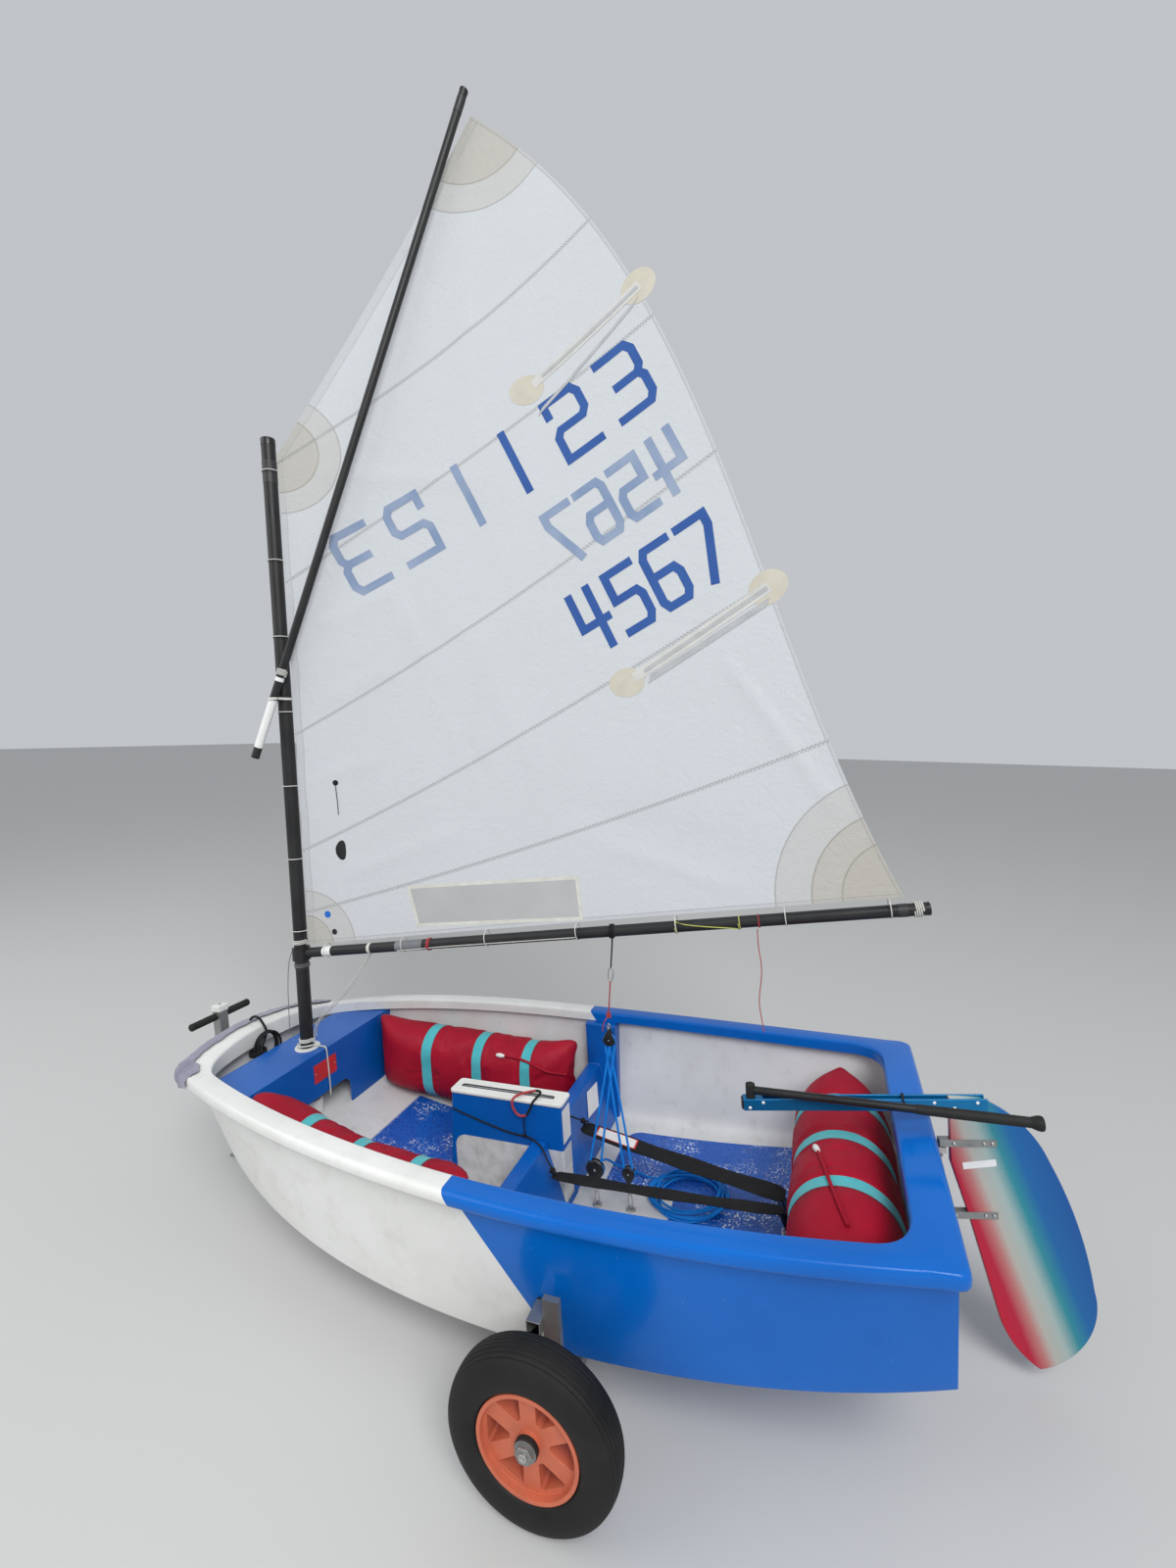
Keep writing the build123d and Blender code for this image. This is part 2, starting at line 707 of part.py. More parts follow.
# Trolley wheels
rim_window = make_face(Polyline((46, -6), (98, -34), (98, 34), (46, 6), close=True))
rim_window = extrude(fillet(rim_window.vertices(), 5), rim_width, both=True)
for name, side in (("port", 1), ("starboard", -1)):
    place = Pos(wheel_x, side * wheel_y, wheel_height) * Rot(-90 * side, 0, 0)
    band = Plane.XZ * Pos(wheel_radius - 42, 0) * RectangleRounded(84, tyre_width, 40)
    tyre = revolve(band, Axis.Z) - Cylinder(rim_radius, tyre_width + 10)
    parts[f"{name}_tyre"] = place * tyre
    rim = Cylinder(rim_radius - seat_gap, rim_width) - Cylinder(rim_radius - 9, rim_width + 2)
    hub = Cylinder(hub_radius, rim_width)
    disc = Cylinder(rim_radius - 5, disc_thickness)
    wheel = rim + hub + disc
    for i in range(spokes):
        wheel -= Rot(0, 0, 360 / spokes * i) * rim_window
    wheel -= Cylinder(axle_diameter / 2 + fit_gap, rim_width + 20)
    parts[f"{name}_rim"] = place * wheel

# Trolley frame: cranked axle with an arm up each side, drawbar, bow rest, post and handle


def ground(x):
    """Height of the ground under a point of the boat."""
    return wheel_height - wheel_radius / cos(radians(trim)) + (x - wheel_x) * tan(radians(trim))


cross_z = wheel_height - axle_drop
arm_out = arm_y + arm_thickness / 2
crossbar = rod((wheel_x, -arm_y, cross_z), (wheel_x, arm_y, cross_z), crossbar_diameter)
crossbar_clear = rod((wheel_x, -arm_y, cross_z), (wheel_x, arm_y, cross_z), crossbar_diameter + 2 * seat_gap)
nut_y = wheel_y + rim_width / 2 + 1
tube_x = wheel_x + arm_width / 2 + seat_gap
side_tubes = []
pads = []
for side in (-1, 1):
    crossbar += box(wheel_x - arm_width / 2, wheel_x + arm_width / 2, side * (arm_out - arm_thickness),
                    side * arm_out, cross_z - crossbar_diameter / 2, arm_top)
    crossbar += rod((wheel_x, side * arm_y, wheel_height), (wheel_x, side * (nut_y + nut_thickness + 1), wheel_height),
                    axle_diameter)
    crossbar += rod((wheel_x, side * nut_y, wheel_height), (wheel_x, side * (nut_y + nut_thickness), wheel_height),
                    nut_diameter)
    pad_y = arm_out - arm_thickness - side_pad_length
    outer = box(tube_x, tube_x + stub_side, side * pad_y, side * stub_reach,
                stub_height - stub_side / 2, stub_height + stub_side / 2)
    inner = box(tube_x + stub_wall, tube_x + stub_side - stub_wall, side * (pad_y - 1), side * (stub_reach + 1),
                stub_height - stub_side / 2 + stub_wall, stub_height + stub_side / 2 - stub_wall)
    side_tubes.append(outer - inner)
    pads.append(box(tube_x, tube_x + stub_side, side * 440, side * (pad_y - seat_gap),
                    stub_height - stub_side / 2, stub_height + stub_side / 2) - hull_clear)
    keel_pad = box(wheel_x - keel_pad_half, wheel_x + keel_pad_half, side * keel_pad_span[0], side * keel_pad_span[1],
                   cross_z, 40)
    pads.append(keel_pad - hull_clear - crossbar_clear)
parts["trolley_axle"] = crossbar
parts["side_tubes"] = Compound(side_tubes)

bar_start = (wheel_x + crossbar_diameter / 2, 0, cross_z)
bar_end = (post_x + post_side, 0, ground(post_x) + post_foot + drawbar_diameter / 2)
bar_rise = (bar_end[2] - cross_z) / (bar_end[0] - bar_start[0])
post_clear = box(post_x - seat_gap, post_x + 2 * post_side, -post_side, post_side, -200, 600)
parts["drawbar"] = rod(bar_start, bar_end, drawbar_diameter) - post_clear - crossbar_clear
drawbar_clear = rod(bar_start, bar_end, drawbar_diameter + 2 * seat_gap)

rest_foot = cross_z + bar_rise * (rest_x - bar_start[0])
rest = box(rest_x - rest_side / 2, rest_x + rest_side / 2, -rest_side / 2, rest_side / 2, rest_foot, rest_top)
parts["bow_rest"] = rest - drawbar_clear
pads.append(box(rest_x - rest_side, rest_x + rest_side, -rest_pad_half, rest_pad_half, rest_top + seat_gap, 260)
            - hull_clear)
parts["hull_pads"] = Compound(pads)

parts["post"] = box(post_x, post_x + post_side, -post_side / 2, post_side / 2, ground(post_x) + post_foot, block_base)
bar_x = post_x + post_side / 2
parts["post"] += rod((bar_x, grip_wall - handle_half, handle_height), (bar_x, handle_half - grip_wall, handle_height),
                     handle_diameter)
bar_clear = rod((bar_x, grip_wall - handle_half - seat_gap, handle_height),
                (bar_x, handle_half - grip_wall + seat_gap, handle_height), handle_diameter + 2 * seat_gap)
grips = []
for side in (-1, 1):
    grip = rod((bar_x, side * (post_side / 2 + seat_gap), handle_height),
               (bar_x, side * handle_half, handle_height), grip_diameter)
    grips.append(grip - bar_clear)
parts["handle_grips"] = Compound(grips)
parts["handle_block"] = box(bar_x - block_side / 2, bar_x + block_side / 2, -block_side / 2, block_side / 2,
                            block_base + seat_gap, block_base + block_tall)
foot_x = post_x - foot_back
leg = box(foot_x - post_side / 2, foot_x + post_side / 2, -post_side / 2, post_side / 2,
          ground(foot_x) + foot_plate, ground(foot_x) + post_foot + 10)
sole = box(foot_x - foot_length / 2, foot_x + foot_length / 2, -foot_width / 2, foot_width / 2,
           ground(foot_x), ground(foot_x) + foot_plate + 1)
parts["front_foot"] = leg + sole - drawbar_clear

# Trim the boat as it parks and set the origin under the middle of it on the ground
lean = Rot(0, trim, 0)
placed = {name: lean * shape for name, shape in parts.items()}
lows = [shape.bounding_box() for name, shape in placed.items()]
low_x = min(b.min.X for b in lows)
high_x = max(b.max.X for b in lows)
ground_z = (lean * Pos(wheel_x, 0, wheel_height)).position.Z - wheel_radius
origin = Pos(-(low_x + high_x) / 2, 0, -ground_z)
print("origin shift", -(low_x + high_x) / 2, -ground_z)
for name, shape in placed.items():
    export_step(origin * shape, f"parts/{name}.step")
    print(name, round(shape.volume), len(shape.solids()))
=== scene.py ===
import bpy, bmesh, json
import numpy as np
from math import atan2, ceil, cos, hypot, pi, radians, sin
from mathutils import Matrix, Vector
from mathutils.bvhtree import BVHTree


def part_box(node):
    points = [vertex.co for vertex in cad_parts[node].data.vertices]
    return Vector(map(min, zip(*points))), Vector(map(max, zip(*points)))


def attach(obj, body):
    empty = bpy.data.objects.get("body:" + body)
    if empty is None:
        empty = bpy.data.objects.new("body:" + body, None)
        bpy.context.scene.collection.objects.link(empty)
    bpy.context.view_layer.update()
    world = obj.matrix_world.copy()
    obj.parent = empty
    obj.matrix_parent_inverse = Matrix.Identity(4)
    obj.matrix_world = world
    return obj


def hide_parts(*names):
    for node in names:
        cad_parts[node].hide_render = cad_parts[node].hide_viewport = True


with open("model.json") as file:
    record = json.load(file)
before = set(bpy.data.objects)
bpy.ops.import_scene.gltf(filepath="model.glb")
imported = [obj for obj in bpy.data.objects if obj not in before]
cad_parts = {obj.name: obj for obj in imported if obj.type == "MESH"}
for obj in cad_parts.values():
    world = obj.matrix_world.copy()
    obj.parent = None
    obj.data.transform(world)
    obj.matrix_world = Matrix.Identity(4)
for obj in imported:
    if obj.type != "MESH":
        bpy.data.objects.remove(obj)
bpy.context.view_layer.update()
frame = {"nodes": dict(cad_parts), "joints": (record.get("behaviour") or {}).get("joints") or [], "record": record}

# The boat's own frame: metres forward of the transom, to port, and up from the base line.
# Its trim and its place on the ground come from the rudder's hinge, whose pin is upright in the boat.
rudderHinge = [joint for joint in frame["joints"] if joint["name"] == "rudder_swing"][0]
pinPlace = (-0.036, 0.0, 0.2)
trim = atan2(rudderHinge["axis"][0], rudderHinge["axis"][2])
trimTurn = np.array([[cos(trim), 0, sin(trim)], [0, 1, 0], [-sin(trim), 0, cos(trim)]])
boatShift = np.array(rudderHinge["pos_m"]) - trimTurn @ np.array(pinPlace)


def toRow(points):   # turns boat points by the trim and shifts them
    return np.asarray(points, float) @ trimTurn.T + boatShift


def gridFaces(nu, nv, closeU=False, closeV=False):   # quads between neighbours of a grid, u by v
    i = np.arange(nu if closeU else nu - 1)[:, None]
    j = np.arange(nv if closeV else nv - 1)[None, :]
    nextI, nextJ = (i + 1) % nu, (j + 1) % nv
    return np.stack([i * nv + j, nextI * nv + j, nextI * nv + nextJ, i * nv + nextJ], -1).reshape(-1, 4)


def sheetOf(points, closeU=False, closeV=False):
    return points.reshape(-1, 3), gridFaces(*points.shape[:2], closeU, closeV)


def capped(points):   # rings along a path, each end drawn in to its middle
    ends = [np.repeat(ring.mean(0)[None, None], len(ring), 1) for ring in (points[0], points[-1])]
    return sheetOf(np.concatenate([ends[0], points, ends[1]]), closeV=True)


def together(*shapes):
    starts = np.cumsum([0] + [len(verts) for verts, faces in shapes[:-1]])
    return (np.concatenate([verts for verts, faces in shapes]),
            np.concatenate([faces + start for (verts, faces), start in zip(shapes, starts)]))


def cleanUp(mesh, solid, angle):   # closes poles, points faces outwards and smooths all but the sharp edges
    work = bmesh.new()
    work.from_mesh(mesh)
    bmesh.ops.remove_doubles(work, verts=work.verts, dist=1e-6)
    bmesh.ops.dissolve_degenerate(work, edges=work.edges, dist=1e-7)
    if solid:
        bmesh.ops.recalc_face_normals(work, faces=work.faces)
    work.to_mesh(mesh)
    work.free()
    mesh.shade_smooth()
    mesh.set_sharp_from_angle(angle=radians(angle))


def piece(name, shape, body, looks, replaces=(), solid=True, angle=35, uv=None, kinds=None):
    verts, faces = shape
    mesh = bpy.data.meshes.new(name)
    mesh.from_pydata(toRow(verts).tolist(), [], faces.tolist())
    if uv is not None:
        mesh.uv_layers.new(name="UVMap").data.foreach_set("uv", uv[faces.ravel()].ravel())
    for look in looks.split():
        mesh.materials.append(materials[look])
    if kinds is not None:
        mesh.polygons.foreach_set("material_index", kinds)
    cleanUp(mesh, solid, angle)
    obj = bpy.data.objects.new(name, mesh)
    bpy.context.scene.collection.objects.link(obj)
    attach(obj, body)
    if replaces:
        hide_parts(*replaces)
    return obj


def bevel(obj, width, segments, angle):
    modifier = obj.modifiers.new("edges", "BEVEL")
    modifier.width, modifier.segments, modifier.angle_limit = width, segments, radians(angle)
    modifier.harden_normals = True


def frames(path):   # tangent, side and up at each point of a path, with the least twist
    path = np.asarray(path, float)
    ways = np.gradient(path, axis=0)
    ways /= np.linalg.norm(ways, axis=1)[:, None]
    side = np.cross(ways[0], (0, 0, 1) if abs(ways[0][2]) < 0.9 else (1, 0, 0))
    sides = []
    for way in ways:
        side = side - way * side.dot(way)
        side = side / np.linalg.norm(side)
        sides.append(side)
    sides = np.array(sides)
    return ways, sides, np.cross(sides, ways)


def tubeAlong(path, radius, count=16):   # circles of a radius, or one radius for each point, along a path
    path = np.asarray(path, float)
    _, sides, ups = frames(path)
    radius = np.broadcast_to(np.asarray(radius, float), len(path))[:, None, None]
    turns = np.linspace(0, 2 * pi, count, endpoint=False)[None, :, None]
    return path[:, None] + radius * (np.cos(turns) * sides[:, None] + np.sin(turns) * ups[:, None])


def rodShape(start, end, radius, count=16, steps=2):
    return capped(tubeAlong(np.linspace(start, end, steps), radius, count))


def turned(profile, centre, axis, count=48):   # a profile of (along, radius) turned about an axis
    profile = np.asarray(profile, float)
    axis = np.asarray(axis, float) / np.linalg.norm(axis)
    side = np.cross(axis, (0, 0, 1) if abs(axis[2]) < 0.9 else (1, 0, 0))
    side /= np.linalg.norm(side)
    up = np.cross(axis, side)
    turns = np.linspace(0, 2 * pi, count, endpoint=False)[None, :, None]
    spokes = np.cos(turns) * side + np.sin(turns) * up
    return np.asarray(centre) + profile[:, :1, None] * axis + profile[:, 1:, None] * spokes


def bezier(a, corner, b, count):   # a round corner between two points
    t = np.linspace(0, 1, count).reshape((-1,) + (1,) * np.ndim(a))
    return (1 - t) ** 2 * np.asarray(a) + 2 * t * (1 - t) * np.asarray(corner) + t ** 2 * np.asarray(b)


# Node helpers: every finish is a small tree on one Principled shader
materials = {}


def newMaterial(name, color, roughness, **sockets):
    material = bpy.data.materials.new(name)
    material.use_nodes = True
    materials[name] = material
    tree = material.node_tree
    shader = tree.nodes["Principled BSDF"]
    shader.inputs["Base Color"].default_value = (*color, 1)
    shader.inputs["Roughness"].default_value = roughness
    for socket, value in sockets.items():
        shader.inputs[socket].default_value = value
    return tree, shader


def node(tree, kind, inputs=(), **settings):
    made = tree.nodes.new("ShaderNode" + kind)
    for name, value in settings.items():
        setattr(made, name, value)
    for key, value in dict(inputs).items():
        if isinstance(value, bpy.types.NodeSocket):
            tree.links.new(value, made.inputs[key])
        else:
            made.inputs[key].default_value = value
    return made


def sums(tree, operation, a, b=0.0, c=0.0):
    return node(tree, "Math", {0: a, 1: b, 2: c}, operation=operation).outputs[0]


def times(tree, a, b):
    return sums(tree, "MULTIPLY", a, b)


def plus(tree, a, b):
    return sums(tree, "ADD", a, b)


def most(tree, a, b):
    return sums(tree, "MAXIMUM", a, b)


def axes(tree, place):   # the three numbers of a place or a colour
    return node(tree, "SeparateXYZ", {0: place}).outputs


def boatPlace(tree):   # Object coordinates turned back into the boat's own frame
    place = node(tree, "TexCoord").outputs["Object"]
    mapping = node(tree, "Mapping", {"Vector": place}, vector_type="TEXTURE")
    mapping.inputs["Location"].default_value = boatShift
    mapping.inputs["Rotation"].default_value = (0, trim, 0)
    return mapping.outputs["Vector"]


def mixColors(tree, share, a, b):
    made = node(tree, "Mix", data_type="RGBA")
    for socket, value in ((made.inputs[0], share), (made.inputs[6], a), (made.inputs[7], b)):
        if isinstance(value, bpy.types.NodeSocket):
            tree.links.new(value, socket)
        elif hasattr(value, "__len__"):
            socket.default_value = (*value, 1) if len(value) == 3 else value
        else:
            socket.default_value = value
    return made.outputs[2]


def noise(tree, place, scale, detail=3.0, rough=0.55):
    return node(tree, "TexNoise", {"Vector": place, "Scale": scale, "Detail": detail,
                                   "Roughness": rough}).outputs["Fac"]


def ramp(tree, value, low, high):   # 0 below low, 1 above high
    return node(tree, "MapRange", {"Value": value, "From Min": low, "From Max": high}, clamp=True).outputs[0]


def fall(tree, value, low, high):   # 1 below low, 0 above high
    return sums(tree, "SUBTRACT", 1, ramp(tree, value, low, high))


def bump(tree, height, strength, distance, normal=None):
    made = node(tree, "Bump", {"Height": height, "Strength": strength, "Distance": distance})
    if normal is not None:
        tree.links.new(normal, made.inputs["Normal"])
    return made.outputs["Normal"]


finishes = {
    # name: colour, its worn tone, roughness from and to, size of patches, of grain, height of grain,
    # more sockets, and how softly the tones blend where that isn't 0.5
    "gelWhite": ((0.80, 0.80, 0.78), (0.70, 0.70, 0.67), (0.16, 0.34), 3.0, 60, 0.0004,
                 {"Coat Weight": 0.5, "Coat Roughness": 0.08}),
    "gelBlue": ((0.0006, 0.132, 0.540), (0.0005, 0.108, 0.455), (0.16, 0.30), 3.5, 60, 0.0004,
                {"Coat Weight": 0.2, "Coat Roughness": 0.08}),
    "innerBlue": ((0.001, 0.108, 0.450), (0.0008, 0.080, 0.360), (0.24, 0.38), 5, 90, 0.0005,
                  {"Specular IOR Level": 0.3, "Coat Weight": 0.15, "Coat Roughness": 0.12}),
    "sparBlack": ((0.012, 0.012, 0.013), (0.026, 0.026, 0.026), (0.32, 0.50), 9, 160, 0.0003,
                  {"Specular IOR Level": 0.3}),
    "tapeBlack": ((0.014, 0.014, 0.015), (0.030, 0.030, 0.030), (0.40, 0.60), 14, 240, 0.0005, {}),
    "tapeGrey": ((0.13, 0.14, 0.15), (0.19, 0.20, 0.21), (0.50, 0.65), 20, 240, 0.0005, {}),
    "plasticBlack": ((0.010, 0.010, 0.011), (0.020, 0.020, 0.021), (0.22, 0.38), 20, 300, 0.0002,
                     {"Specular IOR Level": 0.35}),
    "plasticWhite": ((0.78, 0.78, 0.75), (0.66, 0.66, 0.62), (0.30, 0.45), 18, 200, 0.0003, {}),
    "steel": ((0.62, 0.61, 0.59), (0.46, 0.45, 0.43), (0.22, 0.42), 18, 400, 0.0001, {"Metallic": 1.0}),
    "zinc": ((0.36, 0.37, 0.37), (0.25, 0.25, 0.24), (0.42, 0.62), 26, 240, 0.0003, {"Metallic": 0.8}),
    "rubber": ((0.012, 0.012, 0.013), (0.026, 0.025, 0.024), (0.60, 0.78), 14, 260, 0.0005,
               {"Specular IOR Level": 0.25}),
    "tyre": ((0.007, 0.007, 0.008), (0.020, 0.019, 0.018), (0.50, 0.72), 9, 220, 0.0005,
             {"Specular IOR Level": 0.22}),
    "gripRubber": ((0.010, 0.010, 0.010), (0.022, 0.022, 0.021), (0.55, 0.70), 24, 500, 0.0006,
                   {"Specular IOR Level": 0.25}),
    "rimOrange": ((0.62, 0.150, 0.075), (0.46, 0.115, 0.062), (0.42, 0.60), 16, 150, 0.0005, {}),
    "labelWhite": ((0.80, 0.80, 0.79), (0.73, 0.73, 0.71), (0.35, 0.50), 25, 200, 0.0001, {}),
    "labelRed": ((0.62, 0.030, 0.035), (0.50, 0.025, 0.030), (0.30, 0.45), 25, 200, 0.0001, {}),
    "anodised": ((0.004, 0.190, 0.430), (0.003, 0.140, 0.350), (0.24, 0.36), 12, 500, 0.0001,
                 {"Metallic": 0.55}),
    "carbon": ((0.009, 0.009, 0.010), (0.018, 0.018, 0.019), (0.28, 0.42), 20, 300, 0.0002,
               {"Specular IOR Level": 0.3}),
    "cordBlack": ((0.008, 0.008, 0.009), (0.020, 0.020, 0.021), (0.65, 0.80), 40, 700, 0.0006,
                  {"Specular IOR Level": 0.2}),
    "cordBlue": ((0.006, 0.230, 0.720), (0.004, 0.160, 0.560), (0.58, 0.75), 30, 520, 0.0007,
                 {"Specular IOR Level": 0.2}),
    "cordRed": ((0.42, 0.022, 0.030), (0.30, 0.018, 0.026), (0.60, 0.75), 40, 700, 0.0004,
                {"Sheen Weight": 0.2}),
    "cordWhite": ((0.66, 0.66, 0.62), (0.50, 0.50, 0.46), (0.60, 0.75), 40, 700, 0.0004,
                  {"Sheen Weight": 0.2}),
    "cordGrey": ((0.16, 0.16, 0.17), (0.10, 0.10, 0.11), (0.60, 0.75), 40, 700, 0.0004,
                 {"Sheen Weight": 0.2}),
    "cordYellow": ((0.50, 0.52, 0.10), (0.36, 0.38, 0.08), (0.60, 0.75), 40, 700, 0.0004,
                   {"Sheen Weight": 0.2}),
    "strapBlack": ((0.006, 0.006, 0.007), (0.016, 0.016, 0.016), (0.58, 0.75), 30, 420, 0.0008,
                   {"Specular IOR Level": 0.2}),
    "strapWeb": ((0.075, 0.520, 0.560), (0.045, 0.400, 0.440), (0.62, 0.78), 16, 700, 0.0004,
                 {"Sheen Weight": 0.2}),
    "bagCloth": ((0.400, 0.003, 0.022), (0.290, 0.002, 0.015), (0.45, 0.62), 7, 90, 0.0006,
                 {"Specular IOR Level": 0.22}),
    "creamPatch": ((0.55, 0.52, 0.43), (0.47, 0.44, 0.36), (0.50, 0.65), 18, 500, 0.0003, {}),
    "pocketSleeve": ((0.50, 0.50, 0.48), (0.58, 0.58, 0.55), (0.45, 0.60), 25, 500, 0.0003, {}),
    "battenRod": ((0.36, 0.37, 0.38), (0.44, 0.45, 0.45), (0.35, 0.50), 25, 300, 0.0002, {}),
    "windowHem": ((0.62, 0.62, 0.57), (0.50, 0.50, 0.45), (0.50, 0.65), 30, 600, 0.0003, {}),
    "numeralInk": ((0.010, 0.065, 0.270), (0.014, 0.080, 0.300), (0.38, 0.52), 8, 150, 0.0002, {}),
    # painted show-through: pale copies of the digits on the sail's other side, standing for the shade and blue
    # tint they give the light through the cloth
    "numeralFaint": ((0.17, 0.24, 0.38), (0.26, 0.32, 0.44), (0.45, 0.55), 7, 90, 0.0002, {}, 0.3),
}


def makeFinish(name, like=None):
    # colour drifts between two tones in soft patches, roughness with it, and a fine grain raises the surface
    color, worn, (low, high), patchScale, grainScale, grain, sockets, *share = finishes[like or name]
    tree, shader = newMaterial(name, color, low, **sockets)
    place = node(tree, "TexCoord").outputs["Object"]
    reach = (share[0] if share else 0.5) / 2
    patches = ramp(tree, noise(tree, place, patchScale, 4.0), 0.5 - reach, 0.5 + reach)
    tree.links.new(mixColors(tree, patches, color, worn), shader.inputs["Base Color"])
    tree.links.new(sums(tree, "MULTIPLY_ADD", patches, high - low, low), shader.inputs["Roughness"])
    fine = noise(tree, place, grainScale, 2.0)
    tree.links.new(bump(tree, fine, 1.0, grain), shader.inputs["Normal"])
    return tree, shader
for name in finishes:
    makeFinish(name)
print("finishes made", len(materials))

# Hull: five stations, joined by a smooth curve through each column
hull = {
    "stations": (0.0, 0.575, 1.15, 1.725, 2.3),
    "breadth": (0.484, 0.548, 0.552, 0.479, 0.290),     # half, over the gunwale
    "sheer": (0.374, 0.364, 0.377, 0.396, 0.384),
    "chine": (0.404, 0.469, 0.472, 0.402, 0.211),
    "bottom": (0.061, -0.019, -0.026, 0.036, 0.237),
    "crown": (0.012, 0.002, 0.002, 0.004, 0.036),       # rise of the gunwale's top in the middle
    "rake": (0.0, 0.0, 0.0, 0.0, 0.055),                # how far the section's foot leans aft
    "strake": 0.024, "wall": 0.005, "underRail": 0.0345,
    "outerRound": 0.009, "innerRound": 0.045,
    "splitTop": (1.09, 0.37), "splitFoot": (0.893, 0.065),   # x and z of the edge between blue and white
    "splitBlur": 0.0002, "scratch": (0.16, 0.34, 0.66), "grime": (0.42, 0.40, 0.36),
}
curves = {name: np.polyfit(hull["stations"], hull[name], 4)
          for name in ("breadth", "sheer", "chine", "bottom", "crown", "rake")}


def along(name, x):
    return np.polyval(curves[name], np.clip(x, 0, hull["stations"][-1]))


def hullSections(x, inset, rounding, counts=(9, 7, 18)):
    # each section runs from the port sheer down the side, round the chine, and over to starboard
    sheer, bottom = along("sheer", x), along("bottom", x)
    lean = (along("breadth", x) - hull["strake"] - along("chine", x)) / (sheer - bottom)
    top = sheer - hull["underRail"]
    foot = bottom + inset
    yTop = along("chine", x) + lean * (top - bottom) - inset
    yFoot = along("chine", x) + lean * inset - inset
    a, corner = np.stack([yTop, top], -1), np.stack([yFoot, foot], -1)
    middle = np.stack([0 * yFoot, foot], -1)
    up = (a - corner) / np.linalg.norm(a - corner, axis=1)[:, None]
    start, end = corner + up * rounding, corner - np.array([(rounding, 0)])
    side = np.linspace(a, start, counts[0])
    chine = bezier(start, corner, end, counts[1])
    floor = np.linspace(end, middle, counts[2] // 2)
    half = np.concatenate([side, chine[1:], floor[1:]])
    whole = np.concatenate([half, half[::-1][1:] * np.array([-1, 1])])
    lower = (sheer - whole[..., 1]) / (sheer - bottom)
    xs = x - along("rake", x) * lower
    return np.stack([xs, whole[..., 0], whole[..., 1]], -1).transpose(1, 0, 2)


def cupShape(sections):   # the open-topped skin: its sections, and a ladder across each transom
    nx, nv = sections.shape[:2]
    verts, faces = sheetOf(sections)
    j = np.arange(nv // 2)
    for start in (0, (nx - 1) * nv):
        faces = np.concatenate([faces, np.stack([start + j, start + j + 1, start + nv - 2 - j,
                                                 start + nv - 1 - j], -1)])
    return verts, faces


def makeHull():
    xs = np.concatenate([[0, 0.012], np.linspace(0.04, 2.26, 76), [2.288, 2.3]])
    inner = np.clip(xs, hull["wall"], 2.3 - hull["wall"])
    skin = cupShape(hullSections(xs, 0.0, hull["outerRound"]))
    liner = cupShape(hullSections(inner, hull["wall"], hull["innerRound"]))
    nx, nv = len(xs), len(skin[0]) // len(xs)
    port = np.arange(nx) * nv
    loop = np.concatenate([port, port[::-1] + nv - 1])       # the open edge, all round
    after = np.roll(loop, -1)
    rim = np.stack([loop, after, after + len(skin[0]), loop + len(skin[0])], -1)
    verts, faces = together(skin, liner)
    kinds = np.concatenate([np.zeros(len(skin[1])), np.ones(len(liner[1])),
                            np.zeros(len(rim))]).astype(np.int32)
    shape = verts, np.concatenate([faces, rim])
    piece("hullSkin", shape, "hull", "hullSkin liner", ["hull_shell"], kinds=kinds, angle=30)


def splitMask(tree, place):   # 1 on the blue side of the slanting edge, aft of it
    (x0, z0), (x1, z1) = hull["splitTop"], hull["splitFoot"]
    ahead, up = z1 - z0, x0 - x1                             # across the edge in x and z
    split = axes(tree, place)
    level = plus(tree, sums(tree, "MULTIPLY_ADD", split["X"], ahead, 0), times(tree, split["Z"], up))
    edge = ahead * x0 + up * z0
    return ramp(tree, level, edge - hull["splitBlur"], edge + hull["splitBlur"])


def paintHull():
    gloss = {"Specular IOR Level": 0.26, "Coat Weight": 0.1, "Coat Roughness": 0.06}
    for name in ("hullSkin", "gunwalePaint"):
        tree, shader = newMaterial(name, finishes["gelWhite"][0], 0.2, **gloss)
        place = boatPlace(tree)
        drift = ramp(tree, noise(tree, place, 3.0, 4.0), 0.3, 0.7)
        white = mixColors(tree, drift, *finishes["gelWhite"][:2])
        blue = mixColors(tree, drift, *finishes["gelBlue"][:2])
        scuffs = ramp(tree, noise(tree, place, 38, 6.0, 0.7), 0.66, 0.72)     # thin pale scratches
        blue = mixColors(tree, times(tree, scuffs, 0.22), blue, hull["scratch"])
        grime = ramp(tree, noise(tree, place, 11, 5.0, 0.65), 0.52, 0.80)
        white = mixColors(tree, times(tree, grime, 0.30), white, hull["grime"])
        tree.links.new(mixColors(tree, splitMask(tree, place), white, blue), shader.inputs["Base Color"])
        tree.links.new(sums(tree, "MULTIPLY_ADD", drift, 0.16, 0.14), shader.inputs["Roughness"])
        # slight unevenness of a moulding
        waves = bump(tree, noise(tree, place, 5.5, 1.0), 1.0, 0.0012)
        tree.links.new(bump(tree, noise(tree, place, 70, 2.0), 1.0, 0.0003, waves), shader.inputs["Normal"])


panels = {
    # blue grip panels on the floor: aft, front, starboard and port edges, and their corners' radius
    "aft": (0.30, 0.93, -0.40, 0.40, 0.055),
    "forward": (1.40, 1.84, -0.30, 0.30, 0.05),
    "whitePatch": (0.695, 1.10, -0.10, 0.44, 0.035),
    "floorTop": 0.050,                                # no blue above this height, so the sides stay white
    # the pale speckle colour is a painted highlight: glints of light on the grip's grains
    "gripGlint": (0.74, 0.80, 0.84), "white": ((0.72, 0.72, 0.72), (0.60, 0.60, 0.59)),
    "dirt": (0.36, 0.34, 0.31),
    "blue": ((0.001, 0.060, 0.340), (0.004, 0.125, 0.560)),
}


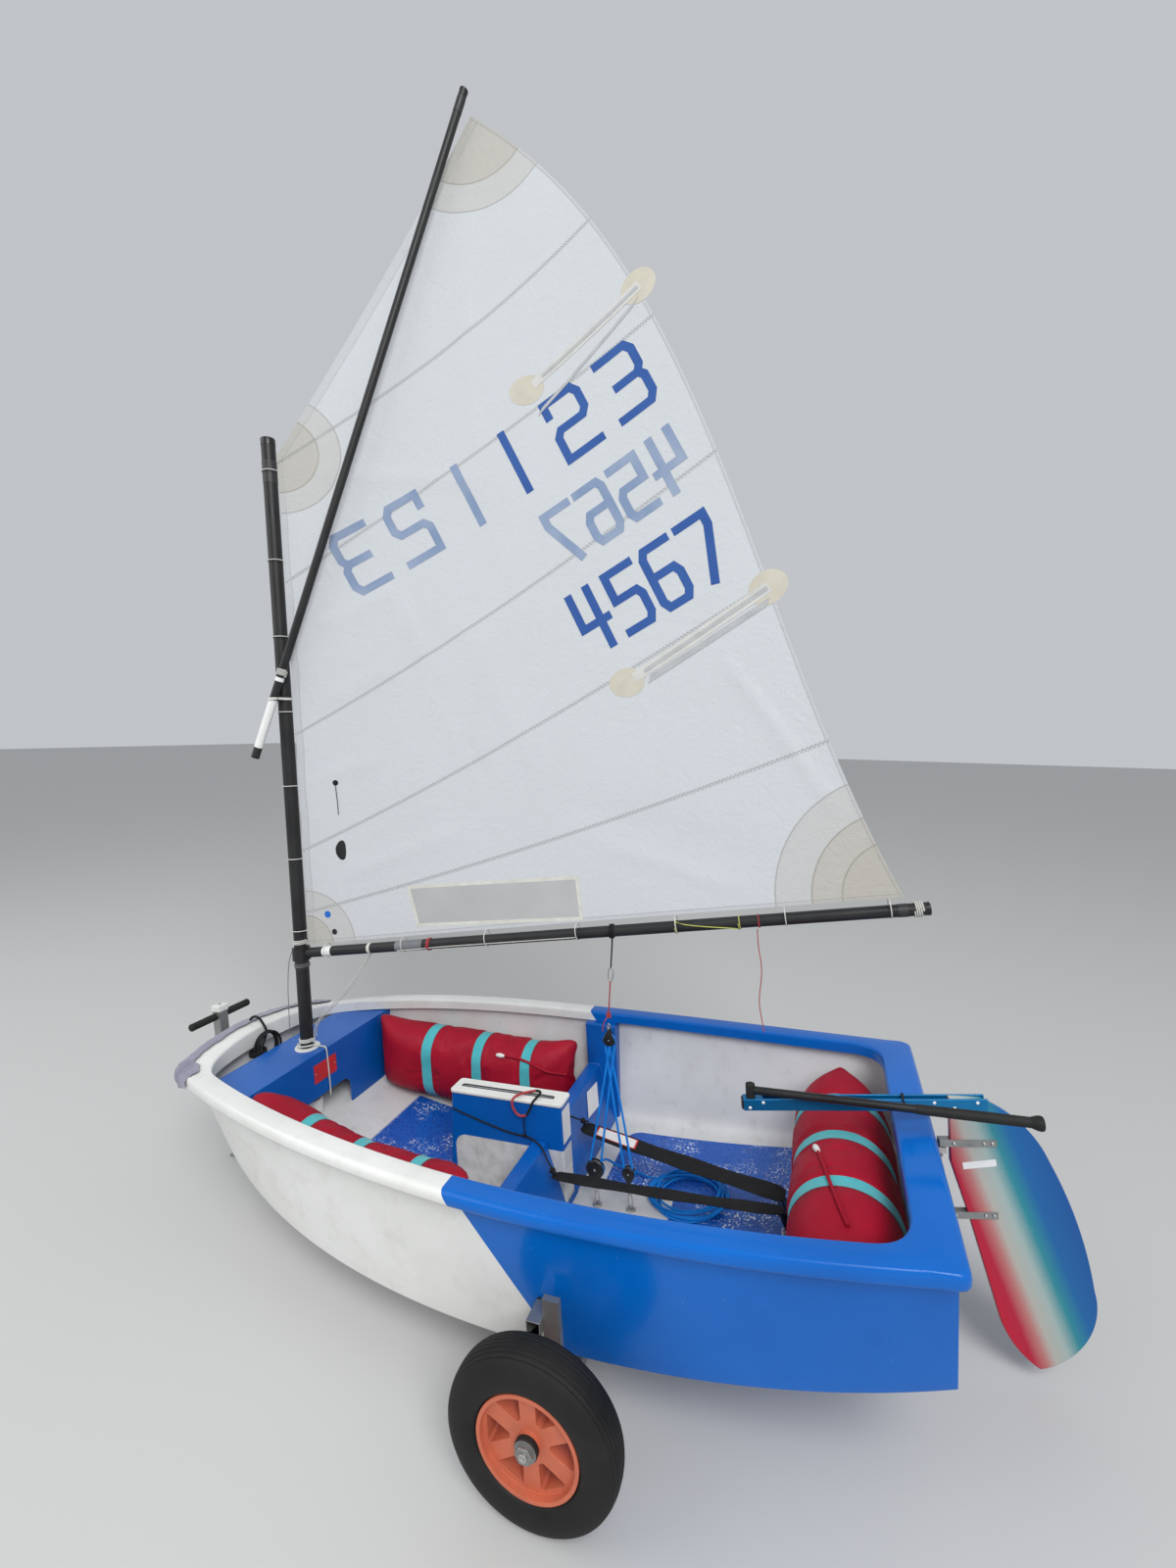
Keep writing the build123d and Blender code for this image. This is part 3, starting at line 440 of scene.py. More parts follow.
def roundedBox(tree, place, low, high, left, right, radius):   # 1 inside a rectangle with round corners
    split = axes(tree, place)
    lengths = []
    for axis, a, b in (("X", low, high), ("Y", left, right)):
        off = sums(tree, "ABSOLUTE", sums(tree, "SUBTRACT", split[axis], (a + b) / 2))
        lengths.append(most(tree, sums(tree, "SUBTRACT", off, (b - a) / 2 - radius), 0))
    squares = [sums(tree, "POWER", length, 2) for length in lengths]
    reach = sums(tree, "SQRT", plus(tree, *squares))
    return fall(tree, reach, radius - 0.0008, radius + 0.0008)


def paintLiner():
    # the liner's white is a grey white, partly painted shade of the boat's inside
    tree, shader = newMaterial("liner", panels["white"][0], 0.35,
                               **{"Coat Weight": 0.15, "Coat Roughness": 0.2})
    place = boatPlace(tree)
    aft = roundedBox(tree, place, *panels["aft"])
    patch = roundedBox(tree, place, *panels["whitePatch"])
    aft = times(tree, aft, sums(tree, "SUBTRACT", 1, patch))
    blueArea = most(tree, aft, roundedBox(tree, place, *panels["forward"]))
    top = panels["floorTop"]
    blueArea = times(tree, blueArea, fall(tree, axes(tree, place)["Z"], top - 0.001, top + 0.001))
    drift = ramp(tree, noise(tree, place, 4.0, 4.0), 0.3, 0.7)
    # grey white of the liner, partly painted shade
    white = mixColors(tree, drift, *panels["white"])
    dirt = ramp(tree, noise(tree, place, 16, 6.0, 0.7), 0.56, 0.74)
    white = mixColors(tree, times(tree, dirt, 0.35), white, panels["dirt"])
    grains = noise(tree, place, 190, 1.5)
    blue = mixColors(tree, ramp(tree, grains, 0.42, 0.62), *panels["blue"])
    bare = ramp(tree, noise(tree, place, 7, 3.0, 0.6), 0.50, 0.64)            # painted highlights: pale glints of light on the grip's grains, in patches
    worn = times(tree, bare, ramp(tree, noise(tree, place, 130, 2.0), 0.55, 0.62))
    # painted highlights laid over the blue grip
    blue = mixColors(tree, worn, blue, panels["gripGlint"])
    tree.links.new(mixColors(tree, blueArea, white, blue), shader.inputs["Base Color"])
    tree.links.new(sums(tree, "MULTIPLY_ADD", drift, 0.16, 0.30), shader.inputs["Roughness"])
    soft = bump(tree, noise(tree, place, 60, 2.0), 1.0, 0.0003)
    rough = times(tree, grains, blueArea)
    tree.links.new(bump(tree, rough, 1.0, 0.0016, soft), shader.inputs["Normal"])


paintHull()
paintLiner()
makeHull()
print("hull done")

gunwale = {
    "width": 0.066, "depth": 0.034,
    "outerRound": 0.017, "innerRound": 0.010, "footRound": 0.006,
    "sternOut": -0.020, "sternIn": 0.072, "sternCorner": (0.022, 0.095),
    "bowOut": 2.35, "bowRadius": 1.5, "bowSide": 2.18, "bowIn": 2.242, "bowCorner": (0.05, 0.12),
    "strake": 0.024,
}


def bowOuter(y):   # the bow's plan is an arc of a large circle
    g = gunwale
    return g["bowOut"] - g["bowRadius"] + np.sqrt(g["bowRadius"] ** 2 - np.asarray(y) ** 2)


# the outer and the inner edge in plan, from the stern's middle to the bow's, on the port side
def gunwaleLoops():
    g = gunwale
    bowHalf = float(along("breadth", g["bowSide"])) - g["width"]
    outerStern, innerStern = float(along("breadth", 0.0)), float(along("breadth", 0.092)) - g["width"]
    outerBow = float(along("breadth", 2.3)) - 0.006

    def bowInner(y):
        return g["bowIn"] - (g["bowIn"] - g["bowSide"]) * (np.asarray(y) / bowHalf) ** 2

    outer, inner = [], []
    t = np.linspace(0, 1, 8)[:, None]
    (ro, ri) = g["sternCorner"]
    outer.append(t * np.array([(0, outerStern - ro)]) + np.array([(g["sternOut"], 0)]))
    inner.append(t * np.array([(0, innerStern - ri)]) + np.array([(g["sternIn"], 0)]))
    sideStart = [np.array((g["sternOut"] + ro, float(along("breadth", ro)))),
                 np.array((g["sternIn"] + ri, float(along("breadth", g["sternIn"] + ri)) - g["width"]))]
    outer.append(bezier(outer[0][-1], (g["sternOut"], outerStern), sideStart[0], 9)[1:])
    inner.append(bezier(inner[0][-1], (g["sternIn"], innerStern), sideStart[1], 9)[1:])
    (ro, ri) = g["bowCorner"]
    xo = np.linspace(sideStart[0][0], 2.325 - ro, 60)[1:]
    xi = np.linspace(sideStart[1][0], g["bowSide"] - ri * 0.75, 60)[1:]
    outer.append(np.column_stack([xo, along("breadth", xo) * 1.0]))
    inner.append(np.column_stack([xi, along("breadth", xi) - g["width"]]))
    yo, yi = outerBow - ro, bowHalf - ri * 0.9
    outer.append(bezier(outer[-1][-1], (float(bowOuter(outerBow)), outerBow), (float(bowOuter(yo)), yo),
                        9)[1:])
    inner.append(bezier(inner[-1][-1], (g["bowSide"] + 0.012, bowHalf), (float(bowInner(yi)), yi), 9)[1:])
    y = np.linspace(1, 0, 14)[1:]
    outer.append(np.column_stack([bowOuter(y * yo), y * yo]))
    inner.append(np.column_stack([bowInner(y * yi), y * yi]))
    return np.concatenate(outer), np.concatenate(inner)


def railTop(x, y):   # the crowned top: sheer height, and a rise towards the middle
    return along("sheer", x) + along("crown", x) * (1 - (y / along("breadth", x)) ** 2)


# inward distance and drop of the section's points, from the foot round to the inner face
def railProfile(width):
    g = gunwale
    turn = np.linspace(0, pi / 2, 8)[:, None]
    ro, ri, foot, deep = g["outerRound"], g["innerRound"], g["footRound"], g["depth"]
    rows = [[(g["strake"], -deep)], [(foot, -deep)], [(foot * 0.3, -deep + foot * 0.3)], [(0, -deep + foot)]]
    rows = [np.repeat(np.array(row, float)[None], len(width), 0) for row in rows]
    arc = np.concatenate([ro * (1 - np.cos(turn)), -ro * (1 - np.sin(turn))], 1)
    rows.append(np.repeat(arc[None], len(width), 0))
    arc = np.concatenate([ri * (np.sin(turn) - 1), -ri * (1 - np.cos(turn))], 1)
    inner = np.repeat(arc[None], len(width), 0)
    inner[..., 0] += width[:, None]
    rows.append(inner)
    last = np.stack([np.stack([width, 0 * width - deep], -1)], 1)
    rows.append(last)
    return np.concatenate(rows, 1)


def railShape():
    outer, inner = gunwaleLoops()
    half = np.array([(1, -1)])
    outer = np.concatenate([outer, outer[::-1][1:-1] * half])
    inner = np.concatenate([inner, inner[::-1][1:-1] * half])
    across = inner - outer
    width = np.linalg.norm(across, axis=1)
    across /= width[:, None]
    profile = railProfile(width)
    plan = outer[:, None] + across[:, None] * profile[..., :1]
    z = railTop(plan[..., 0], plan[..., 1]) + profile[..., 1]
    z = np.where(profile[..., 1] < -gunwale["depth"] + 0.001, along("sheer", plan[..., 0])
                 - gunwale["depth"], z)
    return np.concatenate([plan, z[..., None]], -1)


railPoints = railShape()
piece("gunwaleRail", sheetOf(railPoints, closeU=True, closeV=True), "hull", "gunwalePaint",
      ["gunwale"],
      angle=50)
print("gunwale done")

# Sail: arcs from luff to leech at four heights, a smooth curve through each column
sail = {
    "mastFoot": (2.024, 0.0, 0.136), "mastRake": 1.64, "luffGap": 0.034,
    # height on the luff, the leech's x, y and z, camber
    "rows": ((0.746, 0.018, -0.126, 0.938, 0.012), (1.300, 0.327, -0.185, 1.791, 0.072),
             (1.880, 0.681, -0.243, 2.768, 0.072), (2.452, 1.222, -0.240, 3.484, 0.022)),
    "cloth": (0.70, 0.73, 0.76), "seamTone": (0.47, 0.49, 0.50), "patchTone": (0.60, 0.57, 0.50),
    "threadTone": (0.19, 0.19, 0.185), "translucent": 0.42,
    "luffBand": 0.030, "headBand": 0.036, "leechBand": 0.011, "footBand": 0.014,
    "seams": (   # height share at the luff, in the middle and at the leech
        (0.985, 0.862, 0.792), (0.764, 0.700, 0.653), (0.445, 0.472, 0.487), (0.193, 0.281, 0.339),
        (0.065, 0.119, 0.170)),
    "tackArcs": (0.11, 0.20), "clewArcs": (0.16, 0.24, 0.34), "peakArcs": (0.22, 0.31),
    "throatArcs": (0.13, 0.20),
    # creases: from and to in x and z, width, height
    "creases": (((1.62, 2.05), (1.30, 1.32), 0.035, 0.0045), ((1.50, 1.75), (1.22, 1.20), 0.025, -0.0040),
                ((1.40, 1.95), (1.05, 1.25), 0.050, 0.0040), ((1.85, 0.98), (1.30, 1.16), 0.030, 0.0035),
                ((0.52, 1.70), (0.14, 1.12), 0.022, 0.0050), ((1.10, 1.25), (0.30, 1.00), 0.060, -0.0040),
                ((1.86, 2.40), (1.20, 2.30), 0.030, 0.0045), ((1.88, 1.86), (1.55, 1.98), 0.030, 0.0030),
                ((1.86, 1.60), (1.58, 1.72), 0.030, 0.0030), ((1.92, 1.33), (1.62, 1.40), 0.028, 0.0030),
                ((0.90, 1.10), (0.40, 0.93), 0.025, 0.0035), ((1.25, 3.30), (1.30, 2.55), 0.040, 0.0030)),
    "luffTies": (0.800, 1.060, 1.320, 1.580, 1.840, 2.100, 2.400), "scallop": 0.006,
}
mastWay = np.array([-sin(radians(sail["mastRake"])), 0, cos(radians(sail["mastRake"]))])


def mastAt(z):
    z = np.asarray(z, float)
    return np.array(sail["mastFoot"]) + mastWay * ((z - sail["mastFoot"][2]) / mastWay[2])[..., None]


def sailBase(u, v):   # u runs from luff to leech, v from foot to head
    rows = np.array(sail["rows"])
    heads = mastAt(rows[:, 0]) - np.array([sail["luffGap"], 0, 0])
    tails, cambers = rows[:, 1:4], rows[:, 4]
    chords = tails - heads
    spans = [np.linalg.norm(np.diff(points, axis=0), axis=1)
             for points in (heads, (heads + tails) / 2, tails)]
    stops = np.concatenate([[0], np.cumsum(np.mean(spans, 0))])
    stops /= stops[-1]
    place = 0
    for k in range(4):
        length = np.linalg.norm(chords[k])
        radius = (length ** 2 / 4 + cambers[k] ** 2) / (2 * cambers[k])
        away = np.array([-chords[k][1], chords[k][0], 0])
        away /= np.linalg.norm(away)
        rise = np.sqrt(radius ** 2 - (length * (u - 0.5)) ** 2) - (radius - cambers[k])
        share = np.prod([(v - stops[j]) / (stops[k] - stops[j]) for j in range(4) if j != k], axis=0)
        place = place + share[..., None] * (heads[k] + u[..., None] * chords[k] + rise[..., None] * away)
    return place


def sailPoints(u, v, lift=0.0):
    place = sailBase(u, v)
    x, z = place[..., 0], place[..., 2]
    wave = 0
    for (x0, z0), (x1, z1), width, height in sail["creases"]:
        length = hypot(x1 - x0, z1 - z0)
        ahead = ((x - x0) * (x1 - x0) + (z - z0) * (z1 - z0)) / length ** 2
        across = ((x - x0) * (z1 - z0) - (z - z0) * (x1 - x0)) / length
        ends = np.clip(np.minimum(ahead, 1 - ahead) * 4, 0, 1)
        wave = wave + height * np.exp(-(across / width) ** 2) * ends ** 2 * (3 - 2 * ends)
    inside = np.clip(np.minimum(np.minimum(u, 1 - u) * 1.9, np.minimum(v, 1 - v) * 2.6) / 0.10, 0, 1)
    place[..., 1] += lift + wave * inside
    ties = np.array(sail["luffTies"])
    height = place[..., 2]
    # cloth stands off the mast between its ties
    nearest = np.min(np.abs(height[..., None] - ties), -1)
    place[..., 0] -= sail["scallop"] * np.clip(nearest / 0.13, 0, 1) ** 2 * np.clip(1 - u / 0.12, 0, 1)
    return place


def attribute(mesh, name, values):   # four numbers for each vertex, read by a material
    layer = mesh.attributes.new(name, "FLOAT_COLOR", "POINT")
    layer.data.foreach_set("color", np.ascontiguousarray(values, np.float32).ravel())


def line(tree, value, at, half, soft=0.0006):   # 1 where a value is within half of a level
    off = sums(tree, "ABSOLUTE", sums(tree, "SUBTRACT", value, at))
    return fall(tree, off, half - soft, half + soft)


def paintSail():
    tree, shader = newMaterial("sailcloth", sail["cloth"], 0.32, **{"Sheen Weight": 0.1})
    place = boatPlace(tree)
    share = axes(tree, node(tree, "UVMap").outputs[0])
    u, v = share[0], share[1]
    edges = node(tree, "Attribute", attribute_name="edges")
    corners = node(tree, "Attribute", attribute_name="corners")
    fromEdge = axes(tree, edges.outputs["Color"])
    fromCorner = axes(tree, corners.outputs["Color"])
    height = edges.outputs["Alpha"]                          # metres of sail for one share of height
    doubled, thread = 0.0, 0.0
    for low, middle, high in sail["seams"]:                  # a parabola through its three shares
        bend = 2 * (low + high) - 4 * middle
        slope = high - low - bend
        level = plus(tree, times(tree, u, sums(tree, "MULTIPLY_ADD", u, bend, slope)), low)
        off = times(tree, sums(tree, "SUBTRACT", v, level), height)
        doubled = most(tree, doubled, line(tree, off, 0, 0.007, 0.001))
        zigzag = times(tree, sums(tree, "SINE", times(tree, u, 900)), 0.0034)
        thread = most(tree, thread, line(tree, off, zigzag, 0.0016, 0.0009))
    for distance, width in ((fromEdge[0], sail["luffBand"]), (fromEdge[1], sail["leechBand"]),
                            (fromEdge[2], sail["footBand"]), (corners.outputs["Alpha"], sail["headBand"])):
        doubled = most(tree, doubled, fall(tree, distance, width - 0.001, width + 0.001))
        thread = most(tree, thread, times(tree, line(tree, distance, width - 0.003, 0.001), 0.6))
    patch = 0.0
    throat = node(tree, "Attribute", attribute_name="throat").outputs["Fac"]
    for distance, radii in ((fromCorner[0], sail["tackArcs"]), (fromCorner[1], sail["clewArcs"]),
                            (fromCorner[2], sail["peakArcs"]), (throat, sail["throatArcs"])):
        for radius in radii:
            patch = plus(tree, patch, fall(tree, distance, radius - 0.001, radius + 0.001))
            thread = most(tree, thread, times(tree, line(tree, distance, radius - 0.004, 0.0014), 0.75))
    patch = sums(tree, "MINIMUM", times(tree, patch, 0.42), 1)
    stains = ramp(tree, noise(tree, place, 2.2, 5.0, 0.6), 0.40, 0.75)
    cloth = mixColors(tree, times(tree, stains, 0.25), sail["cloth"], (0.60, 0.62, 0.63))
    fibres = node(tree, "TexNoise", {"Vector": node(tree, "Mapping",
                                                    {"Vector": place, "Scale": (60, 60, 260)}).outputs[0],
                                     "Scale": 1.0, "Detail": 3.0}).outputs["Fac"]
    cloth = mixColors(tree, times(tree, ramp(tree, fibres, 0.45, 0.75), 0.10), cloth, (0.50, 0.52, 0.54))
    cloth = mixColors(tree, patch, cloth, sail["patchTone"])
    cloth = mixColors(tree, times(tree, doubled, 0.20), cloth, sail["seamTone"])
    cloth = mixColors(tree, times(tree, thread, 0.80), cloth, sail["threadTone"])
    tree.links.new(cloth, shader.inputs["Base Color"])
    crinkle = node(tree, "TexNoise", {"Vector": place, "Scale": 26.0, "Detail": 5.0, "Roughness": 0.62,
                                      "Distortion": 1.4}).outputs["Fac"]
    soft = bump(tree, crinkle, 1.0, 0.0030)
    ribs = sums(tree, "SINE", times(tree, axes(tree, place)[2], 900))
    fine = bump(tree, plus(tree, fibres, times(tree, ribs, 0.15)), 1.0, 0.00025, soft)
    raised = bump(tree, sums(tree, "SUBTRACT", doubled, thread), 1.0, 0.0005, fine)
    tree.links.new(raised, shader.inputs["Normal"])
    glow = tree.nodes.new("ShaderNodeBsdfTranslucent")
    tree.links.new(mixColors(tree, most(tree, times(tree, doubled, 0.35), patch), (0.86, 0.87, 0.88),
                             (0.50, 0.48, 0.43)), glow.inputs["Color"])
    tree.links.new(raised, glow.inputs["Normal"])
    mixed = tree.nodes.new("ShaderNodeMixShader")
    mixed.inputs[0].default_value = sail["translucent"]
    tree.links.new(shader.outputs[0], mixed.inputs[1])
    tree.links.new(glow.outputs[0], mixed.inputs[2])
    tree.links.new(mixed.outputs[0], tree.nodes["Material Output"].inputs["Surface"])


window = {   # its corners in x and z, luff end first
    "corners": ((1.558, 0.947), (0.962, 0.979), (0.947, 0.861), (1.523, 0.828)),
    "hem": 0.012, "film": (0.62, 0.63, 0.64), "haze": (0.50, 0.50, 0.48), "alpha": 0.30,
}


def insideQuad(points, corners):   # which points lie inside a quad in x and z
    test = np.ones(len(points), bool)
    for (xa, za), (xb, zb) in zip(corners, corners[1:] + corners[:1]):
        test &= (xb - xa) * (points[:, 1] - za) - (zb - za) * (points[:, 0] - xa) > 0
    return test


def makeSail():
    paintSail()
    u, v = np.meshgrid(np.linspace(0, 1, 150), np.linspace(0, 1, 210), indexing="ij")
    points = sailPoints(u, v)
    verts, faces = sheetOf(points)
    uv = np.stack([u.ravel(), v.ravel()], -1)
    cloth = piece("sailSheet", (verts, faces), "rig", "sailcloth", ["sail"], solid=False, uv=uv,
                  angle=180)
    flat = verts[:, [0, 2]]
    cornersXZ = [sailBase(np.array(float(a)), np.array(float(b)))[[0, 2]]
                 for a, b in ((0, 0), (1, 0), (1, 1), (0, 1))]
    reach = [np.linalg.norm(flat - corner, axis=1) for corner in cornersXZ]
    sideOf = []
    for a, b in ((3, 0), (1, 2), (0, 1), (2, 3)):
        way = cornersXZ[b] - cornersXZ[a]
        way = way / np.linalg.norm(way)
        sideOf.append(np.abs((flat[:, 0] - cornersXZ[a][0]) * way[1] - (flat[:, 1] - cornersXZ[a][1])
                             * way[0]))
    width = np.linalg.norm(points[-1] - points[0], axis=1)[None, :]
    tall = np.linalg.norm(np.diff(points, axis=1), axis=2).sum(1)[:, None] + 0 * width
    luffSide, leechSide = (u * width).ravel(), ((1 - u) * width).ravel()
    footSide, headSide = (v * tall).ravel(), ((1 - v) * tall).ravel()
    attribute(cloth.data, "edges", np.stack([luffSide, leechSide, footSide, tall.ravel()], -1))
    attribute(cloth.data, "corners", np.stack([reach[0], reach[1], reach[2], headSide], -1))
    attribute(cloth.data, "throat", np.stack([reach[3]] * 4, -1))
    return verts, faces


sailVerts, sailFaces = makeSail()
sailTree = BVHTree.FromPolygons(sailVerts.tolist(), sailFaces.tolist())


def onSail(x, z, lift):   # the sail's port face at a place in x and z
    x, z = np.broadcast_arrays(np.asarray(x, float), np.asarray(z, float))
    found = []
    for a, b in zip(x.ravel(), z.ravel()):
        hit = sailTree.ray_cast(Vector((a, 1.0, b)), Vector((0, -1, 0)))[0]
        if hit is None:
            near = sailTree.find_nearest(Vector((a, -0.17, b)))[0]
            hit = Vector((a, near.y, b))
        found.append((a, hit.y + lift, b))
    return np.array(found).reshape(x.shape + (3,))


def ribbon(path, width, step=0.02):   # a band of a width along a path in x and z, as a grid
    path = np.asarray(path, float)
    lengths = np.concatenate([[0], np.cumsum(np.linalg.norm(np.diff(path, axis=0), axis=1))])
    at = np.linspace(0, lengths[-1], max(2, ceil(lengths[-1] / step) + 1))
    centre = np.column_stack([np.interp(at, lengths, path[:, k]) for k in (0, 1)])
    way = np.gradient(centre, axis=0)
    way /= np.linalg.norm(way, axis=1)[:, None]
    side = np.column_stack([-way[:, 1], way[:, 0]]) * width / 2
    return np.stack([centre - side, centre, centre + side], 1)


def film(name, bands, material, lift=0.0006):
    shapes = []
    for band in bands:
        shapes.append(sheetOf(onSail(band[..., 0], band[..., 1], lift)))
    return piece(name, together(*shapes), "rig", material, solid=False, angle=180)


numerals = {
    # strokes of each digit on a field 1 wide and 1 high, cut at the corners as on a stencil
    "strokes": {
        "1": [((0.35, 1), (0.35, 0))],
        "2": [((0, 0.80), (0, 1), (0.86, 1), (1, 0.88), (1, 0.60), (0.86, 0.5), (0.14, 0.5), (0, 0.40),
               (0, 0), (1, 0))],
        "3": [((0, 1), (0.86, 1), (1, 0.88), (1, 0.60), (0.88, 0.5), (1, 0.40), (1, 0.12), (0.86, 0),
               (0, 0)), ((0.25, 0.5), (0.88, 0.5))],
        "4": [((0, 1), (0, 0.42), (1, 0.42)), ((0.74, 1), (0.74, 0))],
        "5": [((1, 1), (0, 1), (0, 0.55), (0.86, 0.55), (1, 0.44), (1, 0.12), (0.86, 0), (0, 0))],
        "6": [((1, 1), (0.14, 1), (0, 0.88), (0, 0.12), (0.14, 0), (0.86, 0), (1, 0.12), (1, 0.42),
               (0.86, 0.54), (0, 0.54))],
        "7": [((0, 1), (1, 1), (1, 0.80), (0.36, 0))],
    },
    # digits, lower left corner in x and z, slope in degrees, height, width of a digit, gap,
    # and whether they belong to the far side
    "rows": (("123", (1.128, 2.238), 24.5, 0.205, 0.118, 0.085, False),
             ("4567", (0.884, 1.692), 24.5, 0.200, 0.088, 0.044, False),
             ("123", (1.700, 1.972), 24.5, 0.205, 0.118, 0.085, True),
             ("4567", (0.968, 1.988), 25.0, 0.180, 0.086, 0.040, True)),
    "stroke": 0.027, "lift": 0.0008,
}


def makeNumerals():
    n = numerals
    for index, (digits, (x0, z0), slope, tall, wide, gap, fromBehind) in enumerate(n["rows"]):
        ahead = np.array([-cos(radians(slope)), sin(radians(slope))])
        up = np.array([sin(radians(slope)), cos(radians(slope))])
        bands = []
        for k, digit in enumerate(digits[::-1] if fromBehind else digits):
            for stroke in n["strokes"][digit]:
                path = []
                for a, b in stroke:
                    a = 1 - a if fromBehind else a
                    path.append(np.array([x0, z0]) + ahead * ((wide + gap) * k + wide * a) + up * tall * b)
                bands.append(strokeBand(np.array(path), n["stroke"]))
        # each row gets an ink film on its own side and a pale film on the other: painted show-through of the
        # digits through the lit cloth
        near, far = ("numeralFaint", "numeralInk") if fromBehind else ("numeralInk", "numeralFaint")
        film(f"numerals{index}Port", bands, near, n["lift"])
        film(f"numerals{index}Starboard", bands, far, -n["lift"])


def strokeBand(path, width):   # a band round a path's corners, mitred, with square ends
    way = np.diff(path, axis=0)
    way /= np.linalg.norm(way, axis=1)[:, None]
    normal = np.column_stack([-way[:, 1], way[:, 0]])
    half = width / 2
    start, end = path[0] - way[0] * half, path[-1] + way[-1] * half
    inner = [start] + list(path[1:-1]) + [end]
    offsets = [normal[0] * half]
    for a, b in zip(normal, normal[1:]):
        offsets.append((a + b) / (1 + a.dot(b)) * half)
    offsets.append(normal[-1] * half)
    left = np.array(inner) + np.array(offsets)
    right = np.array(inner) - np.array(offsets)
    rows = []
    for k in range(len(inner) - 1):
        count = max(1, ceil(np.linalg.norm(np.array(inner[k + 1]) - np.array(inner[k])) / 0.02))
        t = np.linspace(0, 1, count, endpoint=False)[:, None]
        rows.append(np.stack([left[k] + t * (left[k + 1] - left[k]),
                              right[k] + t * (right[k + 1] - right[k])], 1))
    rows.append(np.stack([left[-1:], right[-1:]], 1))
    return np.concatenate(rows)


makeNumerals()
print("sail done")

# Sail window: cut out of the sheet, with a clear film and a sewn border in its place
def cutWindow():
    cloth = bpy.data.objects["sailSheet"]
    work = bmesh.new()
    work.from_mesh(cloth.data)
    row = toRow([(x, 0, z) for x, z in window["corners"]])
    middle = row.mean(0)
    for a, b in zip(row, np.roll(row, -1, axis=0)):
        across = Vector((b[2] - a[2], 0, a[0] - b[0])).normalized()
        near = [f for f in work.faces if abs(f.calc_center_median().x - middle[0]) < 0.32
                and abs(f.calc_center_median().z - middle[2]) < 0.10]
        parts = set(near) | {e for f in near for e in f.edges} | {v for f in near for v in f.verts}
        bmesh.ops.bisect_plane(work, geom=list(parts), plane_co=a, plane_no=across, dist=1e-6)
    corners = [(x, z) for x, _, z in row]
    centres = np.array([f.calc_center_median() for f in work.faces])
    gone = insideQuad(centres[:, [0, 2]], corners)
    bmesh.ops.delete(work, geom=[f for f, drop in zip(work.faces, gone) if drop], context="FACES")
    work.to_mesh(cloth.data)
    work.free()


def makeWindow():
    cutWindow()
    w = window
    tree, shader = newMaterial("windowFilm", w["film"], 0.10,
                               **{"Alpha": w["alpha"], "Specular IOR Level": 0.6})
    place = node(tree, "TexCoord").outputs["Object"]
    haze = ramp(tree, noise(tree, place, 9, 4.0), 0.35, 0.7)
    tree.links.new(sums(tree, "MULTIPLY_ADD", haze, 0.18, 0.08), shader.inputs["Roughness"])
    tree.links.new(mixColors(tree, haze, w["film"], w["haze"]), shader.inputs["Base Color"])
    tree.links.new(bump(tree, noise(tree, place, 14, 2.0), 1.0, 0.0015), shader.inputs["Normal"])
    a, b, c, d = corners = [np.array(corner) for corner in w["corners"]]
    s = np.linspace(-0.002, 1.002, 40)[:, None, None]
    t = np.linspace(-0.01, 1.01, 10)[None, :, None]
    plan = (1 - s) * ((1 - t) * a + t * d) + s * ((1 - t) * b + t * c)
    pane = piece("windowFilm", sheetOf(onSail(plan[..., 0], plan[..., 1], 0.0)), "rig",
                 "windowFilm",
                 ["sail_window"], solid=False, angle=180)
    hem = []
    middle = sum(corners) / 4
    for p, q in zip(corners, corners[1:] + corners[:1]):
        way = (q - p) / np.linalg.norm(q - p)
        inward = np.array([-way[1], way[0]])
        if inward.dot(middle - p) < 0:
            inward = -inward
        shift, beyond = -inward * w["hem"] * 0.35, way * w["hem"] * 0.85
        hem.append(ribbon([p + shift - beyond, q + shift + beyond], w["hem"]))
    film("windowBorder", hem, "windowHem", 0.0007)


makeWindow()

pockets = {
    # inner end, leech end, width of the pocket, inner patch's radius, leech patch's radius
    "upper": ((1.050, 2.590), (0.684, 2.801), 0.030, 0.060, 0.058),
    "lower": ((0.750, 1.605), (0.334, 1.828), 0.034, 0.058, 0.058),
}


def discBand(centre, radius, squash, slope):   # a flat disc of rings, longer along its slope
    turn = np.linspace(0, 2 * pi, 37)
    rings = np.linspace(0.02, 1, 6)[:, None]
    x, z = rings * np.cos(turn) * radius, rings * np.sin(turn) * radius * squash
    return np.stack([centre[0] + x * cos(slope) - z * sin(slope), centre[1] + x * sin(slope) + z
                     * cos(slope)], -1)


def makePockets():
    patches, sleeves, rods = [], [], []
    for inner, outer, width, innerSize, outerSize in pockets.values():
        inner, outer = np.array(inner), np.array(outer)
        way = (outer - inner) / np.linalg.norm(outer - inner)
        slope = atan2(way[1], way[0])
        patches.append(discBand(inner - way * 0.035, innerSize, 0.78, slope + 0.5))
        patches.append(discBand(outer - way * 0.010, outerSize, 0.85, slope))
        sleeves.append(ribbon([inner - way * 0.01, outer - way * 0.005], width))
        rods.append(ribbon([inner + way * 0.03, outer - way * 0.012], width * 0.36))
    film("battenPatches", patches, "creamPatch", 0.0010)
    film("battenSleeves", sleeves, "pocketSleeve", 0.0016)
    film("battenRods", rods, "battenRod", 0.0026)


makePockets()
print("window and pockets done")

